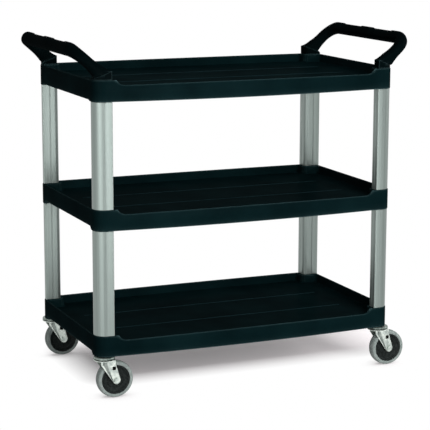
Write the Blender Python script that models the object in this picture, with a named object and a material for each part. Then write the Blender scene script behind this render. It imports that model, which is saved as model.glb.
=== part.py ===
"""Three-shelf food service trolley: moulded shelves, aluminium uprights, two handles, four swivel casters.

Metres, +Z up, +X along the length, origin on the floor under the middle. The front is at -Y.
"""

import math

import bmesh
import bpy
from mathutils import Vector

# Shelf sizes
SHELF_LENGTH = 0.885
SHELF_WIDTH = 0.498
SIDE_BOW = 0.005
TIER_PITCH = 0.343
CORNER_HEIGHT = 0.057
CORNER_RADIUS = 0.033
BLOCK_LENGTH = 0.055
BLOCK_WIDTH = 0.044
BLOCK_FILLET = 0.014
FRONT_LIP_HEIGHT = 0.0435
TRAY_DEPTH = 0.024
TRAY_DRAFT = 0.004
FLOOR_THICKNESS = 0.004
SHELL_WALL = 0.0045
SKIRT_SAG = 0.003
END_SKIRT_LIFT = 0.009
END_SKIRT_RAMP = 0.008
RIB_LIFT = 0.007
RIB_THICKNESS = 0.003
RIB_BAYS_LONG = 8
RIB_BAYS_WIDE = 3
END_BAYS = 1
FLOOR_BEADS = 2
BEAD_PITCH = 0.163
BEAD_WIDTH = 0.008
BEAD_CREST_WIDTH = 0.003
BEAD_FADE = 0.016
BEAD_HEIGHT = 0.0012
BEAD_SETBACK = 0.075

# Upright and spigot sizes
UPRIGHT_LENGTHWISE = 0.048
UPRIGHT_CROSSWISE = 0.0375
UPRIGHT_INSET = 0.0015
UPRIGHT_OUTER_RADIUS = 0.031
UPRIGHT_INNER_RADIUS = 0.014
UPRIGHT_WALL = 0.0025
GROOVE_WIDTH = 0.003
GROOVE_DEPTH = 0.0012
GROOVE_FROM_END = 0.021
GROOVE_FROM_SIDE = 0.013
SPIGOT_HEIGHT = 0.018
SPIGOT_TAPER = 0.0006

# Handle sizes
HANDLE_RISE = 0.097
HANDLE_REACH = 0.063
HANDLE_LEAN = math.radians(54)
LEAN_RADIUS = 0.030
HANDLE_CORNER_RADIUS = 0.045
FOOT_STEP_HEIGHT = 0.024
FOOT_HEEL_HEIGHT = 0.005
NECK_THICKNESS = 0.038
LEG_THICKNESS = 0.031
LEG_WIDTH = 0.034
LEG_CORNER_RADIUS = 0.0125
FOOT_EDGE_RADIUS = 0.0015
GRIP_DEPTH = 0.037
GRIP_THICKNESS = 0.030
GRIP_TILT = math.radians(22)
GRIP_RECESS = 0.0022
LAND_END = 0.034
LAND_MIDDLE = 0.060
LAND_RAMP = 0.004

# Caster sizes
WHEEL_DIAMETER = 0.1016
TYRE_WIDTH = 0.028
TYRE_DEPTH = 0.0105
TYRE_BULGE_DROP = 0.0066
TYRE_SHOULDER_WIDTH = 0.023
TYRE_SHOULDER_DROP = 0.0022
TYRE_CROWN_WIDTH = 0.0106
HUB_WIDTH = 0.0316
HUB_BOSS_RADIUS = 0.0125
HUB_RIM_WIDTH = 0.026
HUB_WEB_THICKNESS = 0.020
HUB_RIM_DEPTH = 0.005
HUB_DRAFT = 0.002
WHEEL_HEADROOM = 0.0045
CASTER_TRAIL = 0.028
FORK_SIDE_GAP = 0.0008
FORK_THICKNESS = 0.0025
CROWN_RADIUS = 0.030
CROWN_BEVEL = 0.001
FORK_HEEL = 0.0155
FORK_TOE = 0.026
FORK_SHOULDER = 0.010
FORK_END_RADIUS = 0.011
SLOT_SIZE = 0.010
SLOT_DROP = 0.022
SLOT_OFFSET = 0.0215
BEARING_HEIGHT = 0.0055
BEARING_INNER_RADIUS = 0.0135
BEARING_OUTER_RADIUS = 0.0235
BEARING_FLANK = 0.002
CAP_THICKNESS = 0.002
CAP_SKIRT = 0.005
CAP_SHOULDER = 0.004
STEM_RADIUS = 0.0055
STEM_LENGTH = 0.040
STEM_CHAMFER = 0.001
STEM_HEAD_RADIUS = 0.009
STEM_HEAD_HEIGHT = 0.003
AXLE_RADIUS = 0.004
AXLE_HEAD_RADIUS = 0.0075
AXLE_HEAD_HEIGHT = 0.004
AXLE_CHAMFER = 0.001
NUT_HEIGHT = 0.005
NUT_RADIUS = 0.0078
NUT_SIDES = 6
AXLE_STUB = 0.0012
SLEEVE_WALL = 0.002

# Clearances
SEAT_GAP = 0.0003
BORE_DEPTH_SPARE = 0.001
CUT_PAST = 0.006
SINK = 0.002

# Facets
CORNER_STEPS = 5
FILLET_STEPS = 3
SIDE_STEPS = 10
SECTION_STEPS = 3
WHEEL_SEGMENTS = 20
CAP_SEGMENTS = 18
BEARING_SEGMENTS = 10
PIN_SEGMENTS = 10
SMOOTH_ANGLE = math.radians(32)

# Sizes worked out from those above
HALF_LENGTH = SHELF_LENGTH / 2
HALF_WIDTH = SHELF_WIDTH / 2
WHEEL_RADIUS = WHEEL_DIAMETER / 2
CROWN_BOTTOM = WHEEL_DIAMETER + WHEEL_HEADROOM
CROWN_TOP = CROWN_BOTTOM + FORK_THICKNESS
BEARING_BOTTOM = CROWN_TOP + SEAT_GAP
BEARING_TOP = BEARING_BOTTOM + BEARING_HEIGHT
CAP_TOP = BEARING_TOP + SEAT_GAP + CAP_THICKNESS
SHELF_BASE = CAP_TOP + SEAT_GAP
TRAY_FLOOR = CORNER_HEIGHT - TRAY_DEPTH
FLOOR_UNDERSIDE = TRAY_FLOOR - FLOOR_THICKNESS
PIN_BORE_RADIUS = STEM_RADIUS + SEAT_GAP
CORNER_X = HALF_LENGTH - UPRIGHT_INSET - UPRIGHT_LENGTHWISE / 2
CORNER_Y = HALF_WIDTH - UPRIGHT_INSET - UPRIGHT_CROSSWISE / 2
FORK_INNER = HUB_WIDTH / 2 + FORK_SIDE_GAP
FORK_OUTER = FORK_INNER + FORK_THICKNESS
HUB_RADIUS = WHEEL_RADIUS - TYRE_DEPTH - SEAT_GAP
AXLE_BORE_RADIUS = AXLE_RADIUS + SEAT_GAP
SLEEVE_RADIUS = AXLE_BORE_RADIUS + SLEEVE_WALL

CORNERS = {
    "front_left": (-1, -1),
    "front_right": (1, -1),
    "rear_left": (-1, 1),
    "rear_right": (1, 1),
}


def make_material(name, colour, roughness, metallic):
    material = bpy.data.materials.new(name)
    material.use_nodes = True
    shader = material.node_tree.nodes["Principled BSDF"]
    shader.inputs["Base Color"].default_value = (*colour, 1)
    shader.inputs["Roughness"].default_value = roughness
    shader.inputs["Metallic"].default_value = metallic
    material.diffuse_color = (*colour, 1)
    return material


def make_object(name, mesh_data, material=None, parent=None, location=(0, 0, 0)):
    """A closed mesh from (points, faces), with its normals turned outward."""
    points, faces = mesh_data
    mesh = bpy.data.meshes.new(name)
    mesh.from_pydata([tuple(point) for point in points], [], faces)
    work = bmesh.new()
    work.from_mesh(mesh)
    bmesh.ops.recalc_face_normals(work, faces=work.faces)
    work.to_mesh(mesh)
    work.free()
    mesh.shade_smooth()
    mesh.set_sharp_from_angle(angle=SMOOTH_ANGLE)
    obj = bpy.data.objects.new(name, mesh)
    bpy.context.scene.collection.objects.link(obj)
    obj.parent = parent
    obj.location = location
    if material:
        mesh.materials.append(material)
    return obj


def make_cutter(name, mesh_data, parent):
    obj = make_object(name, mesh_data, parent=parent)
    obj.hide_render = True
    obj.display_type = "WIRE"
    return obj


def add_boolean(obj, cutter, operation):
    modifier = obj.modifiers.new(cutter.name, "BOOLEAN")
    modifier.object = cutter
    modifier.operation = operation
    modifier.solver = "EXACT"


def make_empty(name, location, parent=None):
    obj = bpy.data.objects.new(name, None)
    bpy.context.scene.collection.objects.link(obj)
    obj.parent = parent
    obj.location = location
    obj.empty_display_size = STEM_LENGTH
    return obj


def join(parts):
    """Several closed shapes as one list of points and faces."""
    points = []
    faces = []
    for part_points, part_faces in parts:
        start = len(points)
        points.extend(part_points)
        faces.extend([index + start for index in face] for face in part_faces)
    return points, faces


def arc(centre, radius, start, end, steps):
    turn = (end - start) / steps
    angles = [start + turn * step for step in range(steps + 1)]
    return [(centre[0] + radius * math.cos(a), centre[1] + radius * math.sin(a)) for a in angles]


def loft(rings):
    """A closed solid through rings with as many points each, capped at both ends."""
    count = len(rings[0])
    points = [point for ring in rings for point in ring]
    faces = [list(range(count)), list(range(len(points) - count, len(points)))]
    for level in range(len(rings) - 1):
        for index in range(count):
            after = (index + 1) % count
            low = level * count
            high = low + count
            faces.append([low + index, low + after, high + after, high + index])
    return points, faces


def prism(outline, low, high, top_outline=None):
    upper = top_outline or outline
    return loft([[(x, y, low) for x, y in outline], [(x, y, high) for x, y in upper]])


def tube(outer, inner, low, high):
    """A straight hollow section from two outlines with as many points each."""
    count = len(outer)
    points = [(x, y, z) for z in (low, high) for outline in (outer, inner) for x, y in outline]
    loops = (0, 2 * count, 3 * count, count)
    faces = []
    for first, second in zip(loops, loops[1:] + loops[:1]):
        for index in range(count):
            after = (index + 1) % count
            faces.append([first + index, first + after, second + after, second + index])
    return points, faces


def revolve(profile, segments, axis, flat_down=False):
    """Turns a closed profile of (radius, height) points about Z or Y. Points on the axis become poles.

    With flat_down the facets lie outside the true round and one of them is lowest, so a wheel stands on a flat.
    """
    start_turn = 0.5 if flat_down else 0
    widen = 1 / math.cos(math.pi / segments) if flat_down else 1
    points = []
    rings = []
    for radius, height in profile:
        start = len(points)
        turns = segments if radius else 1
        for step in range(turns):
            angle = 2 * math.pi * (step + start_turn) / segments
            across = radius * widen * math.cos(angle)
            along = radius * widen * math.sin(angle)
            points.append((across, along, height) if axis == "Z" else (across, height, along))
        rings.append([start + step % turns for step in range(segments)])
    faces = []
    for ring, following in zip(rings, rings[1:] + rings[:1]):
        for step in range(segments):
            after = (step + 1) % segments
            face = [ring[step], ring[after], following[after], following[step]]
            face = list(dict.fromkeys(face))
            if len(face) > 2:
                faces.append(face)
    return points, faces


def box(x_range, y_range, z_range):
    outline = [(x_range[0], y_range[0]), (x_range[1], y_range[0])]
    outline += [(x_range[1], y_range[1]), (x_range[0], y_range[1])]
    return prism(outline, *z_range)


def mirrored_outline(quarter):
    """A closed outline, symmetric in X and Y, from its quarter between the +X and +Y axes."""
    half = quarter + [(-x, y) for x, y in reversed(quarter)]
    return half + [(-x, -y) for x, y in half]


def bowed_side(half_run, edge, bow):
    """The +X half of a long side, from its end to the middle: a flat parabola with no point on the axis."""
    stations = [half_run * (1 - 2 * step / SIDE_STEPS) for step in range(SIDE_STEPS // 2)]
    return [(x, edge + bow * (1 - (x / half_run) ** 2)) for x in stations]


def shelf_outline():
    centre = (HALF_LENGTH - CORNER_RADIUS, HALF_WIDTH - CORNER_RADIUS)
    quarter = arc(centre, CORNER_RADIUS, 0, math.pi / 2, CORNER_STEPS)
    return mirrored_outline(quarter + bowed_side(centre[0], HALF_WIDTH, SIDE_BOW)[1:])


def tray_outline(wall):
    """The space inside the rim or the skirt, which steps in around the four corner blocks."""
    end = HALF_LENGTH - wall
    side = HALF_WIDTH - wall
    block_x = HALF_LENGTH - BLOCK_LENGTH
    block_y = HALF_WIDTH - BLOCK_WIDTH
    fillet = arc(
        (block_x + BLOCK_FILLET, block_y + BLOCK_FILLET),
        BLOCK_FILLET,
        math.pi * 1.5,
        math.pi,
        FILLET_STEPS,
    )
    return mirrored_outline([(end, block_y)] + fillet + bowed_side(block_x, side, SIDE_BOW))


def underside_bays():
    """Square-cut pockets between the stiffening ribs, with the end bays kept between the corner blocks."""
    bays = []
    block_x = HALF_LENGTH - BLOCK_LENGTH - RIB_THICKNESS
    end_x = HALF_LENGTH - SHELL_WALL - RIB_THICKNESS
    side_y = HALF_WIDTH - SHELL_WALL - RIB_THICKNESS
    block_y = HALF_WIDTH - BLOCK_WIDTH - RIB_THICKNESS
    depth = (RIB_LIFT - SINK, FLOOR_UNDERSIDE)
    half_rib = RIB_THICKNESS / 2

    def spans(reach, count):
        step = 2 * reach / count
        starts = [-reach + step * index for index in range(count)]
        return [(start + half_rib, start + step - half_rib) for start in starts]

    for x_range in spans(block_x, RIB_BAYS_LONG):
        for y_range in spans(side_y, RIB_BAYS_WIDE):
            bays.append(box(x_range, y_range, depth))
    for y_range in spans(block_y, END_BAYS):
        bays.append(box((block_x + half_rib, end_x), y_range, depth))
        bays.append(box((-end_x, -block_x - half_rib), y_range, depth))
    return join(bays)


def skirt_trim():
    """Everything below the skirt's bottom edge, which hangs a little lower at mid length."""
    run = HALF_LENGTH - BLOCK_LENGTH
    reach = HALF_LENGTH + CUT_PAST
    below = -SKIRT_SAG - CUT_PAST
    edge = [(-reach, 0)]
    for step in range(SIDE_STEPS + 1):
        x = run * (2 * step / SIDE_STEPS - 1)
        edge.append((x, -SKIRT_SAG * (1 - (x / run) ** 2)))
    edge += [(reach, 0), (reach, below), (-reach, below)]
    far = HALF_WIDTH + SIDE_BOW + CUT_PAST
    return loft([[(x, y, z) for x, z in edge] for y in (-far, far)])


def front_lip_cut():
    """Lowers the front rim between its corner blocks, with a hollow sweep up to each block."""
    sweep = CORNER_HEIGHT - FRONT_LIP_HEIGHT
    reach = HALF_LENGTH - BLOCK_LENGTH
    above = CORNER_HEIGHT + CUT_PAST
    centre_z = FRONT_LIP_HEIGHT + sweep
    right = arc((reach - sweep, centre_z), sweep, -math.pi / 2, 0, FILLET_STEPS)
    left = arc((sweep - reach, centre_z), sweep, math.pi, math.pi * 1.5, FILLET_STEPS)
    edge = left + right + [(reach, above), (-reach, above)]
    outside = -HALF_WIDTH - SIDE_BOW - CUT_PAST
    inside = -HALF_WIDTH + SHELL_WALL + TRAY_DRAFT + CUT_PAST
    return loft([[(x, y, z) for x, z in edge] for y in (outside, inside)])


def end_skirt_cuts():
    """Lifts the end skirts between their corner blocks, with a short ramp down to each block."""
    reach = HALF_WIDTH - BLOCK_WIDTH
    flat = reach - END_SKIRT_RAMP
    below = -SKIRT_SAG - CUT_PAST
    edge = [(-reach, below), (-reach, 0), (-flat, END_SKIRT_LIFT)]
    edge += [(-y, z) for y, z in reversed(edge)]
    inner = HALF_LENGTH - SHELL_WALL - SINK
    outer = HALF_LENGTH + CUT_PAST
    right = loft([[(x, y, z) for y, z in edge] for x in (inner, outer)])
    left = loft([[(x, y, z) for y, z in edge] for x in (-outer, -inner)])
    return join([left, right])


def floor_beads():
    """Low lengthwise beads on the tray floor, running out to nothing at both ends."""
    reach = HALF_LENGTH - BEAD_SETBACK
    beads = []
    for index in range(FLOOR_BEADS):
        middle = (index - (FLOOR_BEADS - 1) / 2) * BEAD_PITCH
        low = TRAY_FLOOR - SINK
        base = [(-reach, -BEAD_WIDTH / 2), (reach, -BEAD_WIDTH / 2), (reach, BEAD_WIDTH / 2)]
        base.append((-reach, BEAD_WIDTH / 2))
        half_crest = BEAD_CREST_WIDTH / 2
        crest = [(math.copysign(reach - BEAD_FADE, x), math.copysign(half_crest, y)) for x, y in base]
        lower = [(x, y + middle, low) for x, y in base]
        upper = [(x, y + middle, TRAY_FLOOR + BEAD_HEIGHT) for x, y in crest]
        beads.append(loft([lower, upper]))
    return join(beads)


def upright_outline(inset, groove):
    """The upright's section from its outer corner inward: a large outer arc, an inner rounding, two grooves."""
    far_u = UPRIGHT_LENGTHWISE - inset
    far_v = UPRIGHT_CROSSWISE - inset
    half = GROOVE_WIDTH / 2
    outer, inner = section_arcs(inset)
    outline = outer + [(far_u, inset)]
    outline.append((far_u, GROOVE_FROM_SIDE - half))
    outline.append((far_u - groove, GROOVE_FROM_SIDE))
    outline.append((far_u, GROOVE_FROM_SIDE + half))
    outline += inner
    outline.append((GROOVE_FROM_END + half, far_v))
    outline.append((GROOVE_FROM_END, far_v - groove))
    outline.append((GROOVE_FROM_END - half, far_v))
    outline.append((inset, far_v))
    return outline


def section_arcs(inset):
    """The two round corners of the upright's section, moved inward by the inset."""
    outer = UPRIGHT_OUTER_RADIUS - inset
    inner = UPRIGHT_INNER_RADIUS - inset
    near = inset + outer
    far = (UPRIGHT_LENGTHWISE - inset - inner, UPRIGHT_CROSSWISE - inset - inner)
    first = arc((near, near), outer, math.pi, math.pi * 1.5, CORNER_STEPS)
    second = arc(far, inner, 0, math.pi / 2, FILLET_STEPS)
    return first, second


def plug_outline(inset):
    """The same section without its grooves, for spigots and the sockets over them."""
    outer, inner = section_arcs(inset)
    near_end = [(UPRIGHT_LENGTHWISE - inset, inset)]
    return outer + near_end + inner + [(inset, UPRIGHT_CROSSWISE - inset)]


def at_corner(outline, side):
    """Section points turned to one corner of the trolley, where side holds the signs of X and Y."""
    edge_x = HALF_LENGTH - UPRIGHT_INSET
    edge_y = HALF_WIDTH - UPRIGHT_INSET
    return [(side[0] * (edge_x - u), side[1] * (edge_y - v)) for u, v in outline]


def spigots(seat, direction):
    """Four plugs, one on each corner block, that fit inside the uprights or the handle feet."""
    plugs = []
    fit = UPRIGHT_WALL + SEAT_GAP
    for side in CORNERS.values():
        base = at_corner(plug_outline(fit), side)
        tip = at_corner(plug_outline(fit + SPIGOT_TAPER), side)
        root_z = seat - direction * SINK
        tip_z = seat + direction * SPIGOT_HEIGHT
        plugs.append(prism(base, root_z, tip_z, tip))
    return join(plugs)


def stem_bores():
    bores = []
    depth = STEM_LENGTH + BORE_DEPTH_SPARE
    profile = [(0, -CUT_PAST), (PIN_BORE_RADIUS, -CUT_PAST), (PIN_BORE_RADIUS, depth), (0, depth)]
    for side in CORNERS.values():
        points, faces = revolve(profile, PIN_SEGMENTS, "Z")
        moved = [(x + side[0] * CORNER_X, y + side[1] * CORNER_Y, z) for x, y, z in points]
        bores.append((moved, faces))
    return join(bores)


def make_shelf(name, base, material, upper_spigots, lower_spigots, casters):
    """A moulded tray: rim and skirt around a ribbed floor, with a solid block in each corner."""
    blank = prism(shelf_outline(), -SKIRT_SAG, CORNER_HEIGHT)
    shelf = make_object(name, blank, material, location=(0, 0, base))
    tray = prism(
        tray_outline(SHELL_WALL + TRAY_DRAFT),
        TRAY_FLOOR,
        CORNER_HEIGHT + CUT_PAST,
        tray_outline(SHELL_WALL),
    )
    hollow = prism(tray_outline(SHELL_WALL), -SKIRT_SAG - CUT_PAST, RIB_LIFT)
    steps = [
        ("tray", tray, "DIFFERENCE"),
        ("skirt_trim", skirt_trim(), "DIFFERENCE"),
        ("hollow", hollow, "DIFFERENCE"),
        ("bays", underside_bays(), "DIFFERENCE"),
        ("end_skirts", end_skirt_cuts(), "DIFFERENCE"),
        ("front_lip", front_lip_cut(), "DIFFERENCE"),
        ("beads", floor_beads(), "UNION"),
    ]
    if upper_spigots:
        steps.append(("upper_spigots", spigots(CORNER_HEIGHT, 1), "UNION"))
    if lower_spigots:
        steps.append(("lower_spigots", spigots(0, -1), "UNION"))
    if casters:
        steps.append(("stem_bores", stem_bores(), "DIFFERENCE"))
    for step_name, mesh_data, operation in steps:
        cutter = make_cutter(f"{name}_{step_name}", mesh_data, shelf)
        add_boolean(shelf, cutter, operation)
    return shelf


def make_uprights(material):
    for tier, level in (("lower", 0), ("upper", 1)):
        low = SHELF_BASE + level * TIER_PITCH + CORNER_HEIGHT + SEAT_GAP
        high = SHELF_BASE + (level + 1) * TIER_PITCH - SEAT_GAP
        for corner, side in CORNERS.items():
            centre = Vector((side[0] * CORNER_X, side[1] * CORNER_Y, low))
            outer = at_corner(upright_outline(0, GROOVE_DEPTH), side)
            inner = at_corner(upright_outline(UPRIGHT_WALL, 0), side)
            points, faces = tube(outer, inner, low, high)
            local = [Vector(point) - centre for point in points]
            make_object(f"{tier}_upright_{corner}", (local, faces), material, location=centre)


def rounded_section(half_u, half_v, radii):
    """Points round a rectangle with its own radius at each corner, from the (+u, +v) corner on.

    Where two roundings would meet on a side, all are made smaller alike.
    """
    fit_u = 2 * half_u / max(radii[0] + radii[1], radii[2] + radii[3])
    fit_v = 2 * half_v / max(radii[0] + radii[3], radii[1] + radii[2])
    fit = min(1, fit_u, fit_v)
    points = []
    for index, radius in enumerate(radii):
        radius *= fit
        sign_u = 1 if index in (0, 3) else -1
        sign_v = 1 if index in (0, 1) else -1
        centre = (sign_u * (half_u - radius), sign_v * (half_v - radius))
        start = index * math.pi / 2
        points += arc(centre, radius, start, start + math.pi / 2, SECTION_STEPS)
    return points


def oval_section(half_u, half_v):
    """An ellipse with as many points, in the same order, as a rounded section."""
    count = SECTION_STEPS + 1
    points = []
    for index in range(4 * count):
        angle = math.pi / 2 * (index // count + (index % count + 0.5) / count)
        points.append((half_u * math.cos(angle), half_v * math.sin(angle)))
    return points


def blend(first, second, share):
    return [tuple(a + (b - a) * share for a, b in zip(p, q)) for p, q in zip(first, second)]


def handle_half():
    """Rings of the right handle from its rear foot to the middle land of its grip, from the corner block's top."""
    foot_radii = (UPRIGHT_OUTER_RADIUS, FOOT_EDGE_RADIUS, UPRIGHT_INNER_RADIUS, FOOT_EDGE_RADIUS)
    half_foot = UPRIGHT_LENGTHWISE / 2
    foot = rounded_section(half_foot, UPRIGHT_CROSSWISE / 2, foot_radii)
    neck = rounded_section(NECK_THICKNESS / 2, LEG_WIDTH / 2, [LEG_CORNER_RADIUS] * 4)
    leg = rounded_section(LEG_THICKNESS / 2, LEG_WIDTH / 2, [LEG_CORNER_RADIUS] * 4)
    land = oval_section(GRIP_DEPTH / 2, GRIP_THICKNESS / 2)
    waist = oval_section(GRIP_DEPTH / 2 - GRIP_RECESS, GRIP_THICKNESS / 2 - GRIP_RECESS)

    # The grip's highest and outermost points lie on its tilted ellipse.
    half_high = math.hypot(GRIP_DEPTH / 2 * math.cos(GRIP_TILT), GRIP_THICKNESS / 2 * math.sin(GRIP_TILT))
    half_out = math.hypot(GRIP_DEPTH / 2 * math.sin(GRIP_TILT), GRIP_THICKNESS / 2 * math.cos(GRIP_TILT))
    grip = Vector((HALF_LENGTH + HANDLE_REACH - half_out, 0, HANDLE_RISE - half_high))

    # The foot's middle line turns by the lean up to the neck, and the leg runs on from there to the grip.
    heel = Vector((CORNER_X + half_foot, 0, FOOT_HEEL_HEIGHT))
    step = Vector((CORNER_X - half_foot, 0, FOOT_STEP_HEIGHT))
    turned = Vector((1 - math.cos(HANDLE_LEAN), 0, math.sin(HANDLE_LEAN)))
    neck_middle = Vector((CORNER_X, 0, SEAT_GAP)) + turned * LEAN_RADIUS
    neck_axis = Vector((math.cos(HANDLE_LEAN), 0, -math.sin(HANDLE_LEAN)))
    lean = (grip - neck_middle).normalized()
    across = Vector((0, 1, 0))
    rings = []

    def add(centre, axis_u, axis_v, section):
        rings.append([centre + axis_u * u + axis_v * v for u, v in section])

    foot_line = across * CORNER_Y
    add(Vector((CORNER_X, CORNER_Y, SEAT_GAP)), Vector((1, 0, 0)), across, foot)
    add((heel + step) / 2 + foot_line, (heel - step) / UPRIGHT_LENGTHWISE, across, foot)
    add(neck_middle + foot_line, neck_axis, across, neck)

    leg_tilt = math.atan2(lean.z, lean.x)
    bend_middle = grip + across * (CORNER_Y - HANDLE_CORNER_RADIUS) - lean * HANDLE_CORNER_RADIUS
    for turn in range(CORNER_STEPS + 1):
        share = turn / CORNER_STEPS
        angle = math.pi / 2 * share
        outward = across * math.cos(angle) + lean * math.sin(angle)
        tilt = leg_tilt + (GRIP_TILT - leg_tilt) * share
        axis_u = Vector((math.sin(tilt), 0, -math.cos(tilt)))
        rising = Vector((math.cos(tilt), 0, math.sin(tilt)))
        axis_v = across * math.cos(angle) + rising * math.sin(angle)
        add(bend_middle + outward * HANDLE_CORNER_RADIUS, axis_u, axis_v, blend(leg, land, share))

    grip_end = CORNER_Y - HANDLE_CORNER_RADIUS
    levels = [
        (grip_end - LAND_END, land),
        (grip_end - LAND_END - LAND_RAMP, waist),
        (LAND_MIDDLE / 2 + LAND_RAMP, waist),
        (LAND_MIDDLE / 2, land),
    ]
    for y, section in levels:
        add(grip + across * y, axis_u, rising, section)
    return rings


def make_handles(material):
    """A moulded loop over each end: two feet on the top shelf's corners, leaning legs and one grip."""
    half = handle_half()
    mirrored = [[Vector((p.x, -p.y, p.z)) for p in ring] for ring in reversed(half)]
    rings = half + mirrored
    top = SHELF_BASE + 2 * TIER_PITCH + CORNER_HEIGHT
    socket_top = SPIGOT_HEIGHT + 2 * SEAT_GAP
    for name, sign in (("left", -1), ("right", 1)):
        turned = [[(sign * p.x, p.y, p.z) for p in ring] for ring in rings]
        handle = make_object(f"{name}_handle", loft(turned), material, location=(0, 0, top))
        sockets = []
        for side in CORNERS.values():
            if side[0] == sign:
                outline = at_corner(plug_outline(UPRIGHT_WALL), side)
                sockets.append(prism(outline, -CUT_PAST, socket_top))
        cutter = make_cutter(f"{name}_handle_sockets", join(sockets), handle)
        add_boolean(handle, cutter, "DIFFERENCE")


def mirrored_profile(side):
    """A closed profile of (radius, height) points from its upper half."""
    return side + [(radius, -height) for radius, height in reversed(side)]


def tyre_profile():
    inner = WHEEL_RADIUS - TYRE_DEPTH
    return mirrored_profile(
        [
            (inner, HUB_RIM_WIDTH / 2),
            (WHEEL_RADIUS - TYRE_BULGE_DROP, TYRE_WIDTH / 2),
            (WHEEL_RADIUS - TYRE_SHOULDER_DROP, TYRE_SHOULDER_WIDTH / 2),
            (WHEEL_RADIUS, TYRE_CROWN_WIDTH / 2),
        ]
    )


def hub_profile():
    bore = SLEEVE_RADIUS + SEAT_GAP
    half_web = HUB_WEB_THICKNESS / 2
    return mirrored_profile(
        [
            (bore, HUB_WIDTH / 2),
            (HUB_BOSS_RADIUS - HUB_DRAFT, HUB_WIDTH / 2),
            (HUB_BOSS_RADIUS, half_web),
            (HUB_RADIUS - HUB_RIM_DEPTH, half_web),
            (HUB_RADIUS, HUB_RIM_WIDTH / 2),
        ]
    )


def tangent_turn(point, centre, radius, side):
    """The direction from a circle's centre to where a line from the point touches it."""
    across = point[0] - centre[0]
    along = point[1] - centre[1]
    return math.atan2(along, across) + side * math.acos(radius / math.hypot(across, along))


def fork_leg_outline():
    """A pressed leg in side view, from under the crown down to a round end about the axle."""
    root = CROWN_BOTTOM + FORK_THICKNESS / 2
    shoulder = CROWN_BOTTOM - FORK_SHOULDER
    axle = (CASTER_TRAIL, WHEEL_RADIUS)
    toe = (FORK_TOE, shoulder)
    heel = (-FORK_HEEL, shoulder)
    first = tangent_turn(toe, axle, FORK_END_RADIUS, -1)
    last = tangent_turn(heel, axle, FORK_END_RADIUS, 1) - 2 * math.pi
    end = arc(axle, FORK_END_RADIUS, first, last, CORNER_STEPS)
    return [(-FORK_HEEL, root), (FORK_TOE, root), toe] + end + [heel]


def make_fork(name, material, parent):
    crown = revolve(
        [
            (PIN_BORE_RADIUS, CROWN_BOTTOM),
            (CROWN_RADIUS, CROWN_BOTTOM),
            (CROWN_RADIUS, CROWN_TOP - CROWN_BEVEL),
            (CROWN_RADIUS - CROWN_BEVEL, CROWN_TOP),
            (PIN_BORE_RADIUS, CROWN_TOP),
        ],
        CAP_SEGMENTS,
        "Z",
    )
    fork = make_object(name, crown, material, parent)
    outline = fork_leg_outline()
    legs = []
    for inner, outer in ((-FORK_OUTER, -FORK_INNER), (FORK_INNER, FORK_OUTER)):
        legs.append(loft([[(x, y, z) for x, z in outline] for y in (inner, outer)]))
    add_boolean(fork, make_cutter(f"{name}_legs", join(legs), parent), "UNION")

    far = FORK_OUTER + CUT_PAST
    hole = [(0, -far), (AXLE_BORE_RADIUS, -far), (AXLE_BORE_RADIUS, far), (0, far)]
    points, faces = revolve(hole, PIN_SEGMENTS, "Y")
    axle_hole = ([(x + CASTER_TRAIL, y, z + WHEEL_RADIUS) for x, y, z in points], faces)
    slot_z = CROWN_BOTTOM - SLOT_DROP
    slot = box(
        (SLOT_OFFSET - SLOT_SIZE / 2, SLOT_OFFSET + SLOT_SIZE / 2),
        (-far, far),
        (slot_z - SLOT_SIZE / 2, slot_z + SLOT_SIZE / 2),
    )
    add_boolean(fork, make_cutter(f"{name}_holes", join([axle_hole, slot]), parent), "DIFFERENCE")
    return fork


def stem_profile():
    top = SHELF_BASE + STEM_LENGTH
    head_top = CROWN_BOTTOM - SEAT_GAP
    head_bottom = head_top - STEM_HEAD_HEIGHT
    return [
        (0, head_bottom),
        (STEM_HEAD_RADIUS - STEM_CHAMFER, head_bottom),
        (STEM_HEAD_RADIUS, head_bottom + STEM_CHAMFER),
        (STEM_HEAD_RADIUS, head_top),
        (STEM_RADIUS, head_top),
        (STEM_RADIUS, top),
        (0, top),
    ]


def cap_profile():
    """A pressed upper race: a flat top over the bearing with a sloped skirt around it."""
    inside = CAP_TOP - CAP_THICKNESS
    skirt = CAP_TOP - CAP_SKIRT
    return [
        (PIN_BORE_RADIUS, inside),
        (CROWN_RADIUS - CAP_SHOULDER, inside),
        (CROWN_RADIUS - CAP_THICKNESS, skirt),
        (CROWN_RADIUS, skirt),
        (CROWN_RADIUS - CAP_SHOULDER + CAP_THICKNESS, CAP_TOP),
        (PIN_BORE_RADIUS, CAP_TOP),
    ]


def bearing_profile():
    """The ball race as one ring, six-sided in section, between the crown and the cap."""
    middle = (BEARING_BOTTOM + BEARING_TOP) / 2
    return [
        (BEARING_INNER_RADIUS, middle),
        (BEARING_INNER_RADIUS + BEARING_FLANK, BEARING_BOTTOM),
        (BEARING_OUTER_RADIUS - BEARING_FLANK, BEARING_BOTTOM),
        (BEARING_OUTER_RADIUS, middle),
        (BEARING_OUTER_RADIUS - BEARING_FLANK, BEARING_TOP),
        (BEARING_INNER_RADIUS + BEARING_FLANK, BEARING_TOP),
    ]


def axle_profile():
    """The axle bolt from its head at the front to its end past the nut."""
    head = -FORK_OUTER - SEAT_GAP
    end = FORK_OUTER + SEAT_GAP + NUT_HEIGHT + AXLE_STUB
    return [
        (0, head - AXLE_HEAD_HEIGHT),
        (AXLE_HEAD_RADIUS - AXLE_CHAMFER, head - AXLE_HEAD_HEIGHT),
        (AXLE_HEAD_RADIUS, head - AXLE_HEAD_HEIGHT + AXLE_CHAMFER),
        (AXLE_HEAD_RADIUS, head),
        (AXLE_RADIUS, head),
        (AXLE_RADIUS, end),
        (0, end),
    ]


def ring_profile(inner, outer, low, high):
    return [(inner, low), (outer, low), (outer, high), (inner, high)]


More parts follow.
